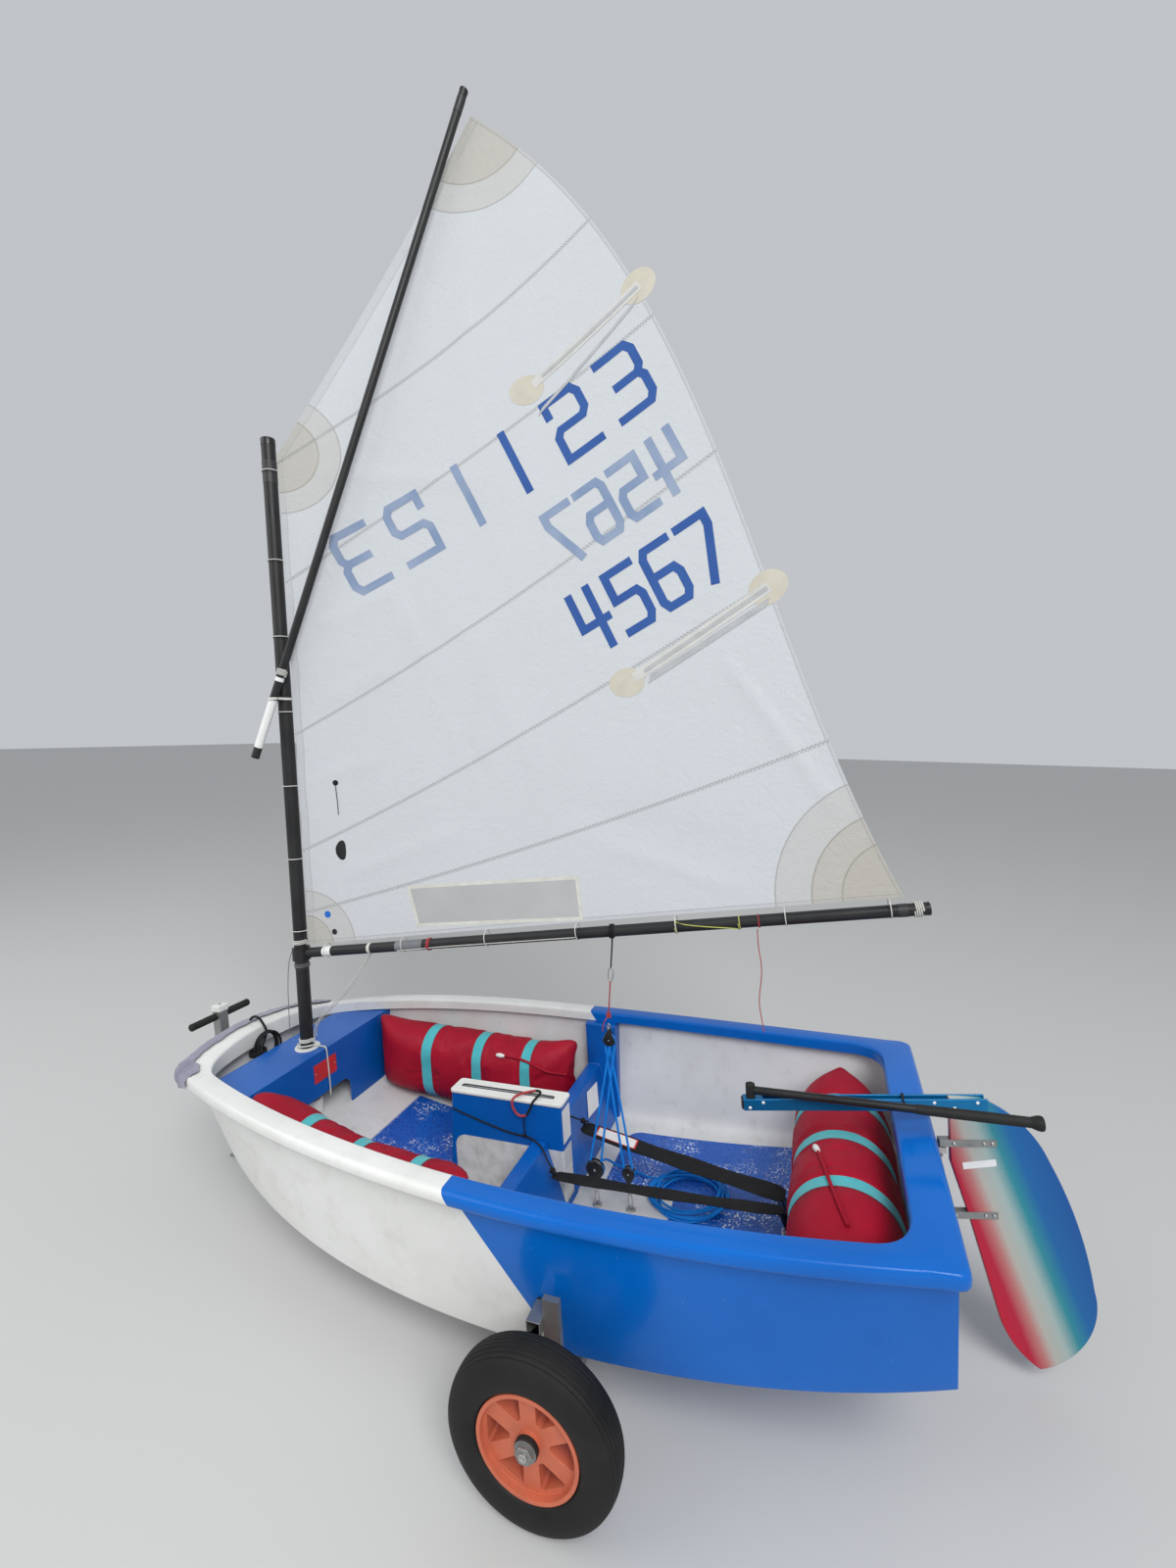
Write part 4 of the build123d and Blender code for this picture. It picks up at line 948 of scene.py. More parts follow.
# Buoyancy bags: inflated cloth held in by its straps
bags = {
    "voxel": 0.008, "shrink": 0.003, "pressure": 4.0, "stiffness": 12, "stretch": -0.035, "frames": 20,
    # furthest move of the cloth, gap to the hull, how far it is sought
    "cap": 0.016, "hullGap": 0.0012, "reach": 0.05,
    "swell": {"port_bag": 0.028, "starboard_bag": 0.016, "stern_bag": 0.016}, "ear": 0.022, "earReach": 0.060,
    "sideBands": (1.290, 1.490, 1.690), "sternBands": (-0.190, 0.0, 0.190), "strapWidth": 0.036,
    "strapThickness": 0.0014, "strapLift": 0.0010, "pinch": 0.006, "weave": 5200, "webRibs": 2400,
    "fill": {"port_bag": 0.8, "starboard_bag": 0.8, "stern_bag": 0.9},
    # on the port bag: folds from a place to a place and their height, and the corners that stand up
    "sideCreases": (((1.928, 0.318, 0.34), (1.74, 0.31, 0.25), 0.007),
                    ((1.928, 0.318, 0.09), (1.76, 0.27, 0.18), -0.005),
                    ((1.928, 0.300, 0.24), (1.78, 0.262, 0.24), 0.006),
                    ((1.124, 0.400, 0.27), (1.28, 0.36, 0.20), 0.007),
                    ((1.124, 0.385, 0.15), (1.27, 0.310, 0.13), -0.005),
                    ((1.124, 0.40, 0.03), (1.28, 0.33, 0.10), 0.006)),
    "sideEars": ((1.915, 0.305, 0.345), (1.140, 0.385, 0.285)),
}


def meshArrays(mesh):
    verts = np.empty(len(mesh.vertices) * 3)
    mesh.vertices.foreach_get("co", verts)
    return verts.reshape(-1, 3)


def treeOf(*objects):
    verts, faces = [], []
    for obj in objects:
        start = len(verts)
        verts += [v.co.copy() for v in obj.data.vertices]
        faces += [[start + i for i in p.vertices] for p in obj.data.polygons]
    return BVHTree.FromPolygons(verts, faces)


def applied(obj):   # the mesh with its modifiers, in place of the old one
    graph = bpy.context.evaluated_depsgraph_get()
    mesh = bpy.data.meshes.new_from_object(obj.evaluated_get(graph))
    obj.modifiers.clear()
    obj.data = mesh
    return mesh


def toBoat(points):
    return (np.asarray(points) - boatShift) @ trimTurn


def softBag(nodeName, along_, bands, creases, swellWay, ears):
    scene = bpy.context.scene
    obj = bpy.data.objects.new(nodeName + "Soft", frame["nodes"][nodeName].data.copy())
    scene.collection.objects.link(obj)
    remesh = obj.modifiers.new("remesh", "REMESH")
    remesh.mode, remesh.voxel_size = "VOXEL", bags["voxel"]
    mesh = applied(obj)
    start = meshArrays(mesh)
    normals = np.empty_like(start)
    mesh.vertices.foreach_get("normal", normals.reshape(-1))
    room = np.empty(len(start))
    for k, (point, normal) in enumerate(zip(start, normals)):
        hit = hullTree.ray_cast(Vector(point), Vector(normal), bags["reach"])
        room[k] = max(0.0, hit[3] - bags["hullGap"]) if hit[0] is not None else bags["reach"]
    boat = toBoat(start)
    across = boat[:, along_]
    strap = np.max([np.clip(1.6 - np.abs(across - band) / (bags["strapWidth"] / 2), 0, 1) for band in bands],
                   0)
    pinched = bags["pinch"] * strap * (room > bags["pinch"])
    slim = start - normals * (bags["shrink"] * (1 - strap) + pinched)[:, None]
    mesh.vertices.foreach_set("co", slim.ravel())
    group = obj.vertex_groups.new(name="held")
    for k in np.nonzero(strap > 0.3)[0]:
        group.add([int(k)], float(min(1, strap[k] * 1.5)), "REPLACE")
    cloth = obj.modifiers.new("cloth", "CLOTH")
    settings = cloth.settings
    settings.vertex_group_mass = "held"
    settings.use_pressure, settings.uniform_pressure_force = True, bags["pressure"]
    settings.effector_weights.gravity = 0
    settings.tension_stiffness = settings.compression_stiffness = bags["stiffness"]
    settings.shrink_min = bags["stretch"]
    settings.quality = 4
    cloth.point_cache.frame_start, cloth.point_cache.frame_end = 1, bags["frames"]
    for step in range(1, bags["frames"] + 1):
        scene.frame_set(step)
    mesh = applied(obj)
    scene.frame_set(1)
    moved = meshArrays(mesh) - start
    outward = (moved * normals).sum(1)
    limit = np.minimum(bags["cap"], room)
    moved -= normals * np.maximum(outward - limit, 0)[:, None]
    size = np.linalg.norm(moved, axis=1)
    moved *= np.minimum(1, bags["cap"] / np.maximum(size, 1e-9))[:, None]
    points = start + moved
    boat = toBoat(points)
    facing = np.clip((normals @ trimTurn) @ (np.array(swellWay) / np.linalg.norm(swellWay)), 0, 1)
    ends = np.clip((across - across.min()) / 0.09, 0, 1) * np.clip((across.max() - across) / 0.09, 0, 1)
    left = np.maximum(room - np.maximum((moved * normals).sum(1), 0), 0)
    grow = np.minimum(bags["swell"][nodeName] * facing * (0.35 + 0.65 * ends), left)
    points = points + normals * grow[:, None]
    for ear in ears:                                        # the pillow's corners stand up
        near = np.exp(-(np.linalg.norm(boat - np.array(ear), axis=1) / bags["earReach"]) ** 2)
        points = points + np.outer(near * bags["ear"], trimTurn @ np.array((0, 0, 1.0)))
    boat = toBoat(points)
    for (p, q), width, height in creases:                   # folds that run in from the pinched corners
        p, q = np.array(p), np.array(q)
        way = q - p
        t = np.clip(((boat - p) @ way) / way.dot(way), 0, 1)
        off = np.linalg.norm(boat - p - t[:, None] * way, axis=1)
        fade = (1 - t) ** 0.7
        lift = height * np.exp(-(off / width) ** 2) * fade
        points += normals * np.minimum(lift, np.maximum(left - grow, 0))[:, None]
    mesh.vertices.foreach_set("co", points.ravel())
    smooth = obj.modifiers.new("finer", "SUBSURF")
    smooth.levels = smooth.render_levels = 1
    mesh = applied(obj)
    mesh.shade_smooth()
    mesh.materials.clear()
    mesh.materials.append(materials["bagCloth"])
    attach(obj, "hull")
    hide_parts(nodeName)
    return obj


def strapRound(bag, along_, at, centre, tilt):
    # a band of webbing laid round the bag: rays from the middle of the section find the cloth
    tree = treeOf(bag)
    turns = np.linspace(0, 2 * pi, 121)[:-1]
    rows = []
    for w in np.linspace(-0.5, 0.5, 5) * bags["strapWidth"]:
        row = []
        for turn in turns:
            way = np.zeros(3)
            way[1 - along_], way[2] = cos(turn), sin(turn)
            start = np.array(centre, float)
            start[along_] = at + w + tilt * cos(turn)
            hit = tree.ray_cast(Vector(toRow(start)), Vector(trimTurn @ way))[0]
            row.append(toBoat(np.array(hit)) if hit is not None else start)
        rows.append(row)
    rows = np.array(rows)
    rows = (np.roll(rows, 1, 1) + 2 * rows + np.roll(rows, -1, 1)) / 4
    outward = rows - rows.mean(1, keepdims=True)
    outward[..., along_] = 0
    outward /= np.linalg.norm(outward, axis=2, keepdims=True)
    low = rows + outward * bags["strapLift"]
    high = low + outward * bags["strapThickness"]
    return sheetOf(np.concatenate([low, high[::-1]]), closeU=True, closeV=True)


def paintBags():   # folds and weave of the bags' cloth, ribs of their webbing
    tree = materials["bagCloth"].node_tree
    place = node(tree, "TexCoord").outputs["Object"]
    split = axes(tree, place)
    threads = [sums(tree, "SINE", times(tree, way, bags["weave"]))
               for way in (split[0], plus(tree, split[1], split[2]))]
    folds = bump(tree, noise(tree, place, 24, 4.0, 0.5), 1.0, 0.0014)
    woven = bump(tree, plus(tree, *threads), 0.5, 0.00012, folds)
    tree.links.new(woven, tree.nodes["Principled BSDF"].inputs["Normal"])
    tree = materials["strapWeb"].node_tree
    split = axes(tree, node(tree, "TexCoord").outputs["Object"])
    ribs = sums(tree, "SINE", times(tree, plus(tree, split[0], split[1]), bags["webRibs"]))
    tree.links.new(bump(tree, ribs, 0.8, 0.0003), tree.nodes["Principled BSDF"].inputs["Normal"])


paintBags()
hullTree = treeOf(bpy.data.objects["hullSkin"], bpy.data.objects["gunwaleRail"],
                  frame["nodes"]["midship_frame"],
                  frame["nodes"]["mast_thwart"], frame["nodes"]["daggerboard_case"])
strapShapes = []
for side, name in ((1, "port_bag"), (-1, "starboard_bag")):
    mirror = np.array([1, side, 1])
    creases = [(np.array(ends) * mirror, 0.014, height) for *ends, height in bags["sideCreases"]]
    ears = [np.array(ear) * mirror for ear in bags["sideEars"]]
    bag = softBag(name, 0, bags["sideBands"], creases, (0, -0.7 * side, 0.7), ears)
    for band in bags["sideBands"]:
        y = side * (0.400 - max(0, band - 1.40) * 0.15)
        strapShapes.append(strapRound(bag, 0, band,
                                      (band, y - side * 0.02, 0.15 + max(0, band - 1.45) * 0.13), 0.004))
ends = [((0.195, s * 0.395, 0.30), (0.20, s * 0.28, 0.28)) for s in (-1, 1)]
bag = softBag("stern_bag", 1, bags["sternBands"], [(end, 0.018, 0.006) for end in ends], (0.35, 0, 0.9), [])
for band in bags["sternBands"]:
    strapShapes.append(strapRound(bag, 1, band, (0.195, band, 0.168), 0.003))
piece("bagWebbing", together(*strapShapes), "hull", "strapWeb", ["bag_straps"], angle=60)
print("bags done")

# CAD pieces that keep their shape: a merged copy with softened edges and its own finish
bodyOf = {name: body for body, names in frame["record"]["behaviour"]["bodies"].items() for name in names}


def dressed(nodeName, look, width=0.0, segments=0, angle=35, smooth=40):
    mesh = frame["nodes"][nodeName].data.copy()
    work = bmesh.new()
    work.from_mesh(mesh)
    bmesh.ops.remove_doubles(work, verts=work.verts, dist=2e-6)
    bmesh.ops.dissolve_limit(work, angle_limit=radians(0.6), verts=work.verts, edges=work.edges)
    work.to_mesh(mesh)
    work.free()
    mesh.materials.clear()
    mesh.materials.append(materials[look])
    mesh.shade_smooth()
    mesh.set_sharp_from_angle(angle=radians(smooth))
    obj = bpy.data.objects.new(nodeName + "Dressed", mesh)
    bpy.context.scene.collection.objects.link(obj)
    if width:
        bevel(obj, width, segments, angle)
    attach(obj, bodyOf[nodeName])
    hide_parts(nodeName)


# Daggerboard case: white low on its sides, with a round upper corner in front; that white is grey, partly painted
# shade of the recess it stands for
case = {
    "aft": 0.80, "front": 1.388, "low": -0.30, "top": 0.157, "corner": 0.040,
    "white": (0.66, 0.66, 0.65), "dirt": (0.44, 0.44, 0.43),
    "slot": (1.205, 0.164, 0.0072, 0.3045),   # its middle, half length, half width and height
}


def paintCase():
    tree, shader = makeFinish("caseBlue", "innerBlue")
    color = shader.inputs["Base Color"]
    split = axes(tree, boatPlace(tree))
    face = node(tree, "CombineXYZ", {0: split[0], 1: split[2]}).outputs[0]
    low = roundedBox(tree, face, case["aft"], case["front"], case["low"], case["top"], case["corner"])
    dirt = ramp(tree, noise(tree, face, 22, 5.0, 0.65), 0.40, 0.75)
    # grey white, partly painted shade of the recess, mottled darker in random patches
    shadedMottledWhite = mixColors(tree, dirt, case["white"], case["dirt"])
    tree.links.new(mixColors(tree, low, color.links[0].from_socket, shadedMottledWhite), color)


paintCase()
dressings = {
    # node: finish, radius of the edges, segments
    "mast_thwart": ("innerBlue", 0.0028, 3), "midship_frame": ("innerBlue", 0.010, 4),
    "daggerboard_case": ("caseBlue", 0.006, 4), "case_cap": ("plasticWhite", 0.0025, 3),
    "mast_ring": ("plasticWhite", 0.0012, 2), "mast_step": ("gelWhite", 0.003, 3),
    "boom_jaw": ("plasticBlack", 0.0012, 2),
    "strap_eye": ("steel", 0.0006, 2), "gudgeons": ("steel", 0.0008, 2), "trolley_axle": ("zinc", 0.0016, 2),
    "side_tubes": ("zinc", 0.0016, 2), "drawbar": ("zinc", 0.001, 2), "bow_rest": ("zinc", 0.002, 2),
    "post": ("zinc", 0.002, 2), "front_foot": ("zinc", 0.002, 2), "hull_pads": ("rubber", 0.002, 2),
    "handle_block": ("plasticWhite", 0.003, 3), "port_rim": ("rimOrange", 0.0022, 3),
    "starboard_rim": ("rimOrange", 0.0022, 3), "tiller": ("anodised", 0.0012, 2),
    "extension_joint": ("rubber", 0.002, 2),
    "mast": ("sparBlack",), "boom": ("sparBlack",), "sprit": ("sparBlack",), "extension_tube": ("carbon",),
    "sprit_strop": ("cordWhite",), "sail_ties": ("cordWhite",), "battens": ("battenRod",),
}
for nodeName, settings in dressings.items():
    dressed(nodeName, *settings)
print("plain pieces dressed")

# Rudder: fade from red over cream to teal and blue, across the blade's slant
rudder = {
    "pin": -0.036, "turn": 14.0, "slant": (0.945, 0.326), "across": (0.085, 0.340), "edge": 0.0032,
    "fade": ((0.00, (0.480, 0.002, 0.026)), (0.13, (0.430, 0.004, 0.034)), (0.24, (0.460, 0.170, 0.160)),
             (0.33, (0.430, 0.410, 0.370)), (0.46, (0.340, 0.430, 0.410)), (0.59, (0.020, 0.230, 0.280)),
             (0.74, (0.001, 0.110, 0.330)), (1.00, (0.001, 0.075, 0.290))),
    "label": ((0.049, 0.2790), (0.1287, 0.2882), 0.018),      # from and to as distance aft and height, width
    "face": 0.0071,                                           # half the blade's thickness under the label
    "straps": (0.149, 0.339), "strapRivets": (0.028, 0.100, 0.120), "strapFace": 0.01029,
    "rivet": (0.0048, 0.0028),                                # radius and height
}
rudderCos, rudderSin = cos(radians(rudder["turn"])), sin(radians(rudder["turn"]))


def bladePoint(aft, side, z):   # a place on the turned blade
    aft, side, z = np.broadcast_arrays(np.asarray(aft, float), np.asarray(side, float), np.asarray(z, float))
    return np.stack([rudder["pin"] - aft * rudderCos - side * rudderSin, -aft * rudderSin + side * rudderCos,
                     z], -1)


def rivetPair(place, sizes, aft, z):   # sizes: height of the face, a rivet's radius and height
    return [rivet(place(aft, face * sizes[0], z), (-rudderSin * face, rudderCos * face, 0), *sizes[1:])
            for face in (-1, 1)]


def paintRudder():
    gloss = {"Specular IOR Level": 0.3, "Coat Weight": 0.2, "Coat Roughness": 0.06}
    tree, shader = newMaterial("rudderFade", rudder["fade"][0][1], 0.22, **gloss)
    place = boatPlace(tree)
    split = axes(tree, place)
    aft = plus(tree, times(tree, split[0], -rudderCos), times(tree, split[1], -rudderSin))
    level = plus(tree, times(tree, aft, rudder["slant"][0]), times(tree, split[2], rudder["slant"][1]))
    # grain of the sprayed fade
    spray = sums(tree, "MULTIPLY_ADD", noise(tree, place, 420, 2.0), 0.020, -0.010)
    shift = rudder["slant"][0] * rudder["pin"] * rudderCos
    share = ramp(tree, plus(tree, level, spray), rudder["across"][0] - shift, rudder["across"][1] - shift)
    fade = node(tree, "ValToRGB", {0: share})
    stops = fade.color_ramp.elements
    while len(stops) < len(rudder["fade"]):
        stops.new(0.5)
    for stop, (position, color) in zip(stops, rudder["fade"]):
        stop.position, stop.color = position, (*color, 1)
    scuff = ramp(tree, noise(tree, place, 30, 6.0, 0.7), 0.66, 0.74)
    color = mixColors(tree, times(tree, scuff, 0.18), fade.outputs[0], (0.5, 0.5, 0.5))
    tree.links.new(color, shader.inputs["Base Color"])
    tree.links.new(sums(tree, "MULTIPLY_ADD", noise(tree, place, 6), 0.2, 0.12), shader.inputs["Roughness"])
    tree.links.new(bump(tree, noise(tree, place, 90, 2.0), 1.0, 0.0002), shader.inputs["Normal"])


def rivet(centre, axis, radius, height):
    turns = np.linspace(0, pi / 2, 6)
    profile = [(-0.0006, radius)] + [(height * sin(t), max(radius * cos(t), 1e-5)) for t in turns]
    return sheetOf(turned(profile, centre, axis, 20), closeV=True)


def patch(corner, across, up, size, lift, radius):
    # a thin flat plate with rounded corners, standing off a face by its lift
    across, up = [np.asarray(v, float) / np.linalg.norm(v) for v in (across, up)]
    out = np.cross(across, up)
    w, h = size
    r = radius
    ring = []
    for cx, cy, start in ((w - r, h - r, 0), (r, h - r, 90), (r, r, 180), (w - r, r, 270)):
        for k in range(5):
            turn = radians(start + 22.5 * k)
            ring.append((cx + r * cos(turn), cy + r * sin(turn)))
    ring = np.array(ring)
    rings = [np.asarray(corner) + ring[:, :1] * across + ring[:, 1:] * up + out * level
             for level in (0.0, lift)]
    return capped(np.array(rings))


def makeRudder():
    paintRudder()
    dressed("rudder_blade", "rudderFade", rudder["edge"], 4)
    dressed("rudder_straps", "zinc", 0.0006, 2)
    face = (rudder["strapFace"], *rudder["rivet"])
    rivets = sum([rivetPair(bladePoint, face, aft, z) for z in rudder["straps"]
                  for aft in rudder["strapRivets"]], [])
    piece("rudderRivets", together(*rivets), "rudder", "steel", angle=50)
    (a0, z0), (a1, z1), width = rudder["label"]
    start, end = bladePoint(a0, rudder["face"], z0), bladePoint(a1, rudder["face"], z1)
    up = np.cross(end - start, np.array([-rudderSin, rudderCos, 0]))
    up *= np.sign(up[2]) / np.linalg.norm(up)
    size = np.linalg.norm(end - start), width
    label = patch(start - up * width / 2, end - start, up, size, -0.0004, 0.001)
    piece("rudderLabel", label, "rudder", "labelWhite", angle=50)


makeRudder()

# Tiller's fittings and its extension
tiller = {
    "rivets": (0.474, 0.440, 0.060, 0.018, -0.030, -0.085), "height": (0.434, 0.448),
    # height of the bar's face, then a rivet's radius and height
    "rivet": (0.0140, 0.0042, 0.0022),
    "end": ((0.4905, -0.0112, 0.4275), (0.0224, 0.027), 0.004, 0.003),   # corner, size, thickness, radius
    # ahead of the pin, half breadth and height, middle, thickness
    "band": (0.090, 0.0165, 0.0185, 0.441, 0.0028),
    "joint": (0.470, 0.475), "swing": 13.0, "reach": 0.640, "grip": 0.250,
    "gripRadii": (0.0112, 0.0120, 0.0122, 0.0118), "gripStart": (0.0104, 0.0112), "ripple": (0.00035, 900),
    # the knob's radius, then its shape as places from the end and shares of that radius
    "knob": 0.0168,
    "knobPlaces": (-0.012, -0.008, -0.004, 0.000, 0.004, 0.008, 0.011, 0.013, 0.014),
    "knobShares": (0.72, 0.80, 0.89, 0.96, 1.0, 1.0, 0.96, 0.84, 0.60),
}


def tillerPoint(ahead, side, z):
    return bladePoint(-np.asarray(ahead, float), side, z)


def extensionPoint(reach):   # a place along the extension from its joint
    c, s = cos(radians(-tiller["swing"])), sin(radians(-tiller["swing"]))
    ahead, z = tiller["joint"]
    return tillerPoint(ahead - reach * c, -reach * s, z)


def makeTiller():
    rivets = sum([rivetPair(tillerPoint, tiller["rivet"], ahead, tiller["height"][k % 2])
                  for k, ahead in enumerate(tiller["rivets"])], [])
    piece("tillerRivets", together(*rivets), "rudder", "labelWhite", angle=50)
    corner, size, thickness, radius = tiller["end"]
    across = tillerPoint(0, 1, 0) - tillerPoint(0, 0, 0)
    end = patch(tillerPoint(*corner), across, (0, 0, 1), size, thickness, radius)
    piece("tillerEnd", end, "rudder", "plasticBlack")
    ring = []
    ahead, half, tall, z, thickness = tiller["band"]
    for turn in np.linspace(0, 2 * pi, 41)[:-1]:
        side = half * np.sign(cos(turn)) * abs(cos(turn)) ** 0.5
        rise = tall * np.sign(sin(turn)) * abs(sin(turn)) ** 0.5
        ring.append(tillerPoint(ahead + 0.004 * sin(2 * turn), side, z + rise))
    loop = tubeAlong(np.array(ring + ring[:1]), thickness, 10)
    piece("tillerBand", sheetOf(loop, closeV=True), "rudder", "cordBlack", angle=60)
    reach = np.linspace(tiller["reach"] - tiller["grip"], tiller["reach"] - 0.012, 60)
    depth, waves = tiller["ripple"]                          # shallow rings moulded round the grip
    radius = np.interp(reach, np.linspace(reach[0], reach[-1], 4),
                       tiller["gripRadii"]) + depth * np.sin(reach * waves)
    radius[:2] = tiller["gripStart"]
    reach = np.concatenate([reach, tiller["reach"] + np.array(tiller["knobPlaces"])])
    radius = np.concatenate([radius, tiller["knob"] * np.array(tiller["knobShares"])])
    body = tubeAlong([extensionPoint(r) for r in reach], radius, 28)
    piece("extensionGrip", capped(body), "extension", "gripRubber", ["extension_grip"],
          angle=50)


makeTiller()
print("rudder and tiller done")

# Wheels: a tyre turned from its section, with ribs round the tread
wheels = {
    "place": (0.826, 0.660, -0.024), "radius": 0.195, "ribs": 7, "ribDepth": 0.0028, "bead": (0.030, 0.1150),
    "treadHalf": 0.0325, "crown": (0.0075, 2.4), "grooveWidth": 2.4,
    # places from the middle and radii: the wall from the rim to the tread, and the cap over the hub
    "side": ((0.034, 0.1163), (0.041, 0.121), (0.0455, 0.134), (0.0460, 0.150), (0.0445, 0.163),
             (0.0415, 0.173),
             (0.0375, 0.1815), (0.0330, 0.1868)),
    "hubCap": ((0.030, 0.0262), (0.0395, 0.0262), (0.0425, 0.0240), (0.0425, 0.0165), (0.0405, 0.0160),
               (0.0405, 0.0135)),
}


def makeTyres():
    w = wheels
    tread = []
    half = w["treadHalf"]
    for y in np.linspace(half, -half, 200):
        groove = 0.5 - 0.5 * cos(2 * pi * w["ribs"] * (y / (2 * half) + 0.5))
        crown = w["radius"] - w["crown"][0] * (abs(y) / half) ** w["crown"][1]
        tread.append((y, crown - w["ribDepth"] * max(0, 1 - groove * w["grooveWidth"])))
    wall = [w["bead"], *w["side"]]
    profile = wall + tread + [(-y, r) for y, r in reversed(wall)]
    x, y, z = w["place"]
    for name, sign in (("port", 1), ("starboard", -1)):
        centre = (x, sign * y, z)
        tyre = sheetOf(turned(profile + [profile[0]], centre, (0, 1, 0), 128), closeV=True)
        piece(name + "Tyre", tyre, "wheel_" + name, "tyre", [name + "_tyre"], angle=28)
        cap = sheetOf(turned(w["hubCap"], centre, (0, sign, 0), 48), closeV=True)
        piece(name + "HubCap", cap, "wheel_" + name, "gripRubber", solid=False, angle=35)


makeTyres()
print("wheels done")

# Cords: curves through boat points, lashings round spars, and tape sleeves


def cordCurve(name, points, diameter, body, look, replaces=(), closed=False, resolution=10):
    # a NURBS spline of order 3 with the given boat points as its control points
    curve = bpy.data.curves.new(name, "CURVE")
    curve.dimensions, curve.resolution_u = "3D", resolution
    spline = curve.splines.new("NURBS")
    spline.points.add(len(points) - 1)
    for point, place in zip(spline.points, toRow(points)):
        point.co = (*place, 1)
    spline.order_u = 3
    spline.use_cyclic_u, spline.use_endpoint_u = closed, not closed
    curve.bevel_depth, curve.bevel_resolution, curve.use_fill_caps = diameter / 2, 3, not closed
    curve.materials.append(materials[look])
    obj = bpy.data.objects.new(name, curve)
    bpy.context.scene.collection.objects.link(obj)
    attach(obj, body)
    if replaces:
        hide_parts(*replaces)
    return obj


def curveLength(obj):   # measured on a copy without its thickness
    bare = bpy.data.objects.new("bareLine", obj.data.copy())
    bare.data.bevel_depth = 0
    mesh = bpy.data.meshes.new_from_object(bare)
    places = np.array([v.co for v in mesh.vertices])
    bpy.data.meshes.remove(mesh)
    bpy.data.curves.remove(bare.data)
    return float(np.linalg.norm(np.diff(places, axis=0), axis=1).sum())


def wraps(name, centre, axis, radius, diameter, turns, spread, body, look, slotName=None):
    # a lashing: turns of cord round a spar, side by side
    steps = 12                                               # points to a turn
    axis = np.asarray(axis, float) / np.linalg.norm(axis)
    side = np.cross(axis, (0, 0, 1) if abs(axis[2]) < 0.8 else (0, 1, 0))
    side /= np.linalg.norm(side)
    up = np.cross(axis, side)
    t = np.linspace(0, turns, int(turns * steps) + 1)
    reach = (radius + diameter / 2) / cos(pi / steps)
    path = (np.asarray(centre) + np.outer(t / turns - 0.5, axis * spread)
            + reach * (np.outer(np.cos(2 * pi * t), side) + np.outer(np.sin(2 * pi * t), up)))
    return cordCurve(name, path, diameter, body, look)


def sleeve(name, start, way, low, high, radius, look):   # tape or a mark round a spar
    edge = 0.0006
    profile = [(low, radius - edge), (low + edge / 2, radius), (high - edge / 2, radius),
               (high, radius - edge)]
    piece(name, sheetOf(turned(profile, start, way, 40), closeV=True), "rig", look,
          solid=False, angle=60)


# Daggerboard case, thwart and frame: plates, shock cord and loop
inside = {
    # lower corner, and width and height, of a plate
    "plate": ((1.9458, 0.052, 0.256), (0.109, 0.066)), "plateScrews": (0.008, 0.101),
    "caseLabel": ((1.0038, 0.029, 0.175), (0.058, 0.105)),
    "frameLabel": ((1.0510, -0.300, 0.158), (1.0480, -0.395, 0.149), (1.0265, -0.345, 0.086),
                   (1.0300, -0.250, 0.095)),
    # diameter, finish and places of each cord
    "cords": {
        "shockCord": (0.0052, "cordBlack", (
            (0.995, 0.112, 0.137), (1.022, 0.100, 0.150), (1.052, 0.078, 0.187), (1.085, 0.056, 0.190),
            (1.115, 0.0395, 0.189), (1.187, 0.0385, 0.192), (1.290, 0.0385, 0.216), (1.380, 0.0390, 0.240),
            (1.3965, 0.0320, 0.243), (1.3965, -0.0320, 0.243), (1.380, -0.0390, 0.240),
            (1.290, -0.0385, 0.216),
            (1.187, -0.0385, 0.192), (1.115, -0.0395, 0.189), (1.085, -0.070, 0.190), (1.052, -0.110, 0.187),
            (1.022, -0.148, 0.150), (0.995, -0.165, 0.137))),
        "caseLoopRed": (0.0075, "cordRed", (
            (1.108, -0.012, 0.3125), (1.135, 0.004, 0.3125), (1.158, 0.028, 0.3125), (1.168, 0.0455, 0.302),
            (1.160, 0.0455, 0.272), (1.140, 0.0450, 0.254), (1.118, 0.0450, 0.262))),
        "caseLoopBlack": (0.0075, "cordBlack", (
            (1.118, 0.0450, 0.262), (1.102, 0.0450, 0.285), (1.096, 0.0440, 0.305), (1.088, 0.0260, 0.3130),
            (1.086, 0.000, 0.3130), (1.094, -0.014, 0.3125), (1.108, -0.012, 0.3125))),
        "caseDrop": (0.004, "cordBlack", ((1.130, 0.0420, 0.258), (1.130, 0.0400, 0.230),
                                          (1.131, 0.0398, 0.196))),
        "footCord": (0.005, "cordWhite", (
            (2.052, -0.008, 0.377), (2.046, 0.024, 0.377), (2.018, 0.036, 0.377), (1.990, 0.020, 0.378),
            (1.982, -0.006, 0.374), (1.966, -0.011, 0.366), (1.947, -0.012, 0.367), (1.9415, -0.012, 0.352),
            (1.9410, -0.012, 0.318), (1.9405, -0.013, 0.270), (1.9410, -0.014, 0.220),
            (1.9420, -0.014, 0.185))),
    },
    # middle, axis, radius, diameter, turns and spread of each knot
    "knots": {
        "caseDropKnot": ((1.131, 0.0405, 0.194), (1, 0, 0.25), 0.0028, 0.0034, 2.5, 0.008),
        "portFrameKnot": ((1.012, 0.104, 0.1415), (1, 0, 0.42), 0.0040, 0.0052, 3, 0.015),
        "starboardFrameKnot": ((1.012, -0.158, 0.1415), (1, 0, 0.42), 0.0040, 0.0052, 3, 0.015),
    },
}


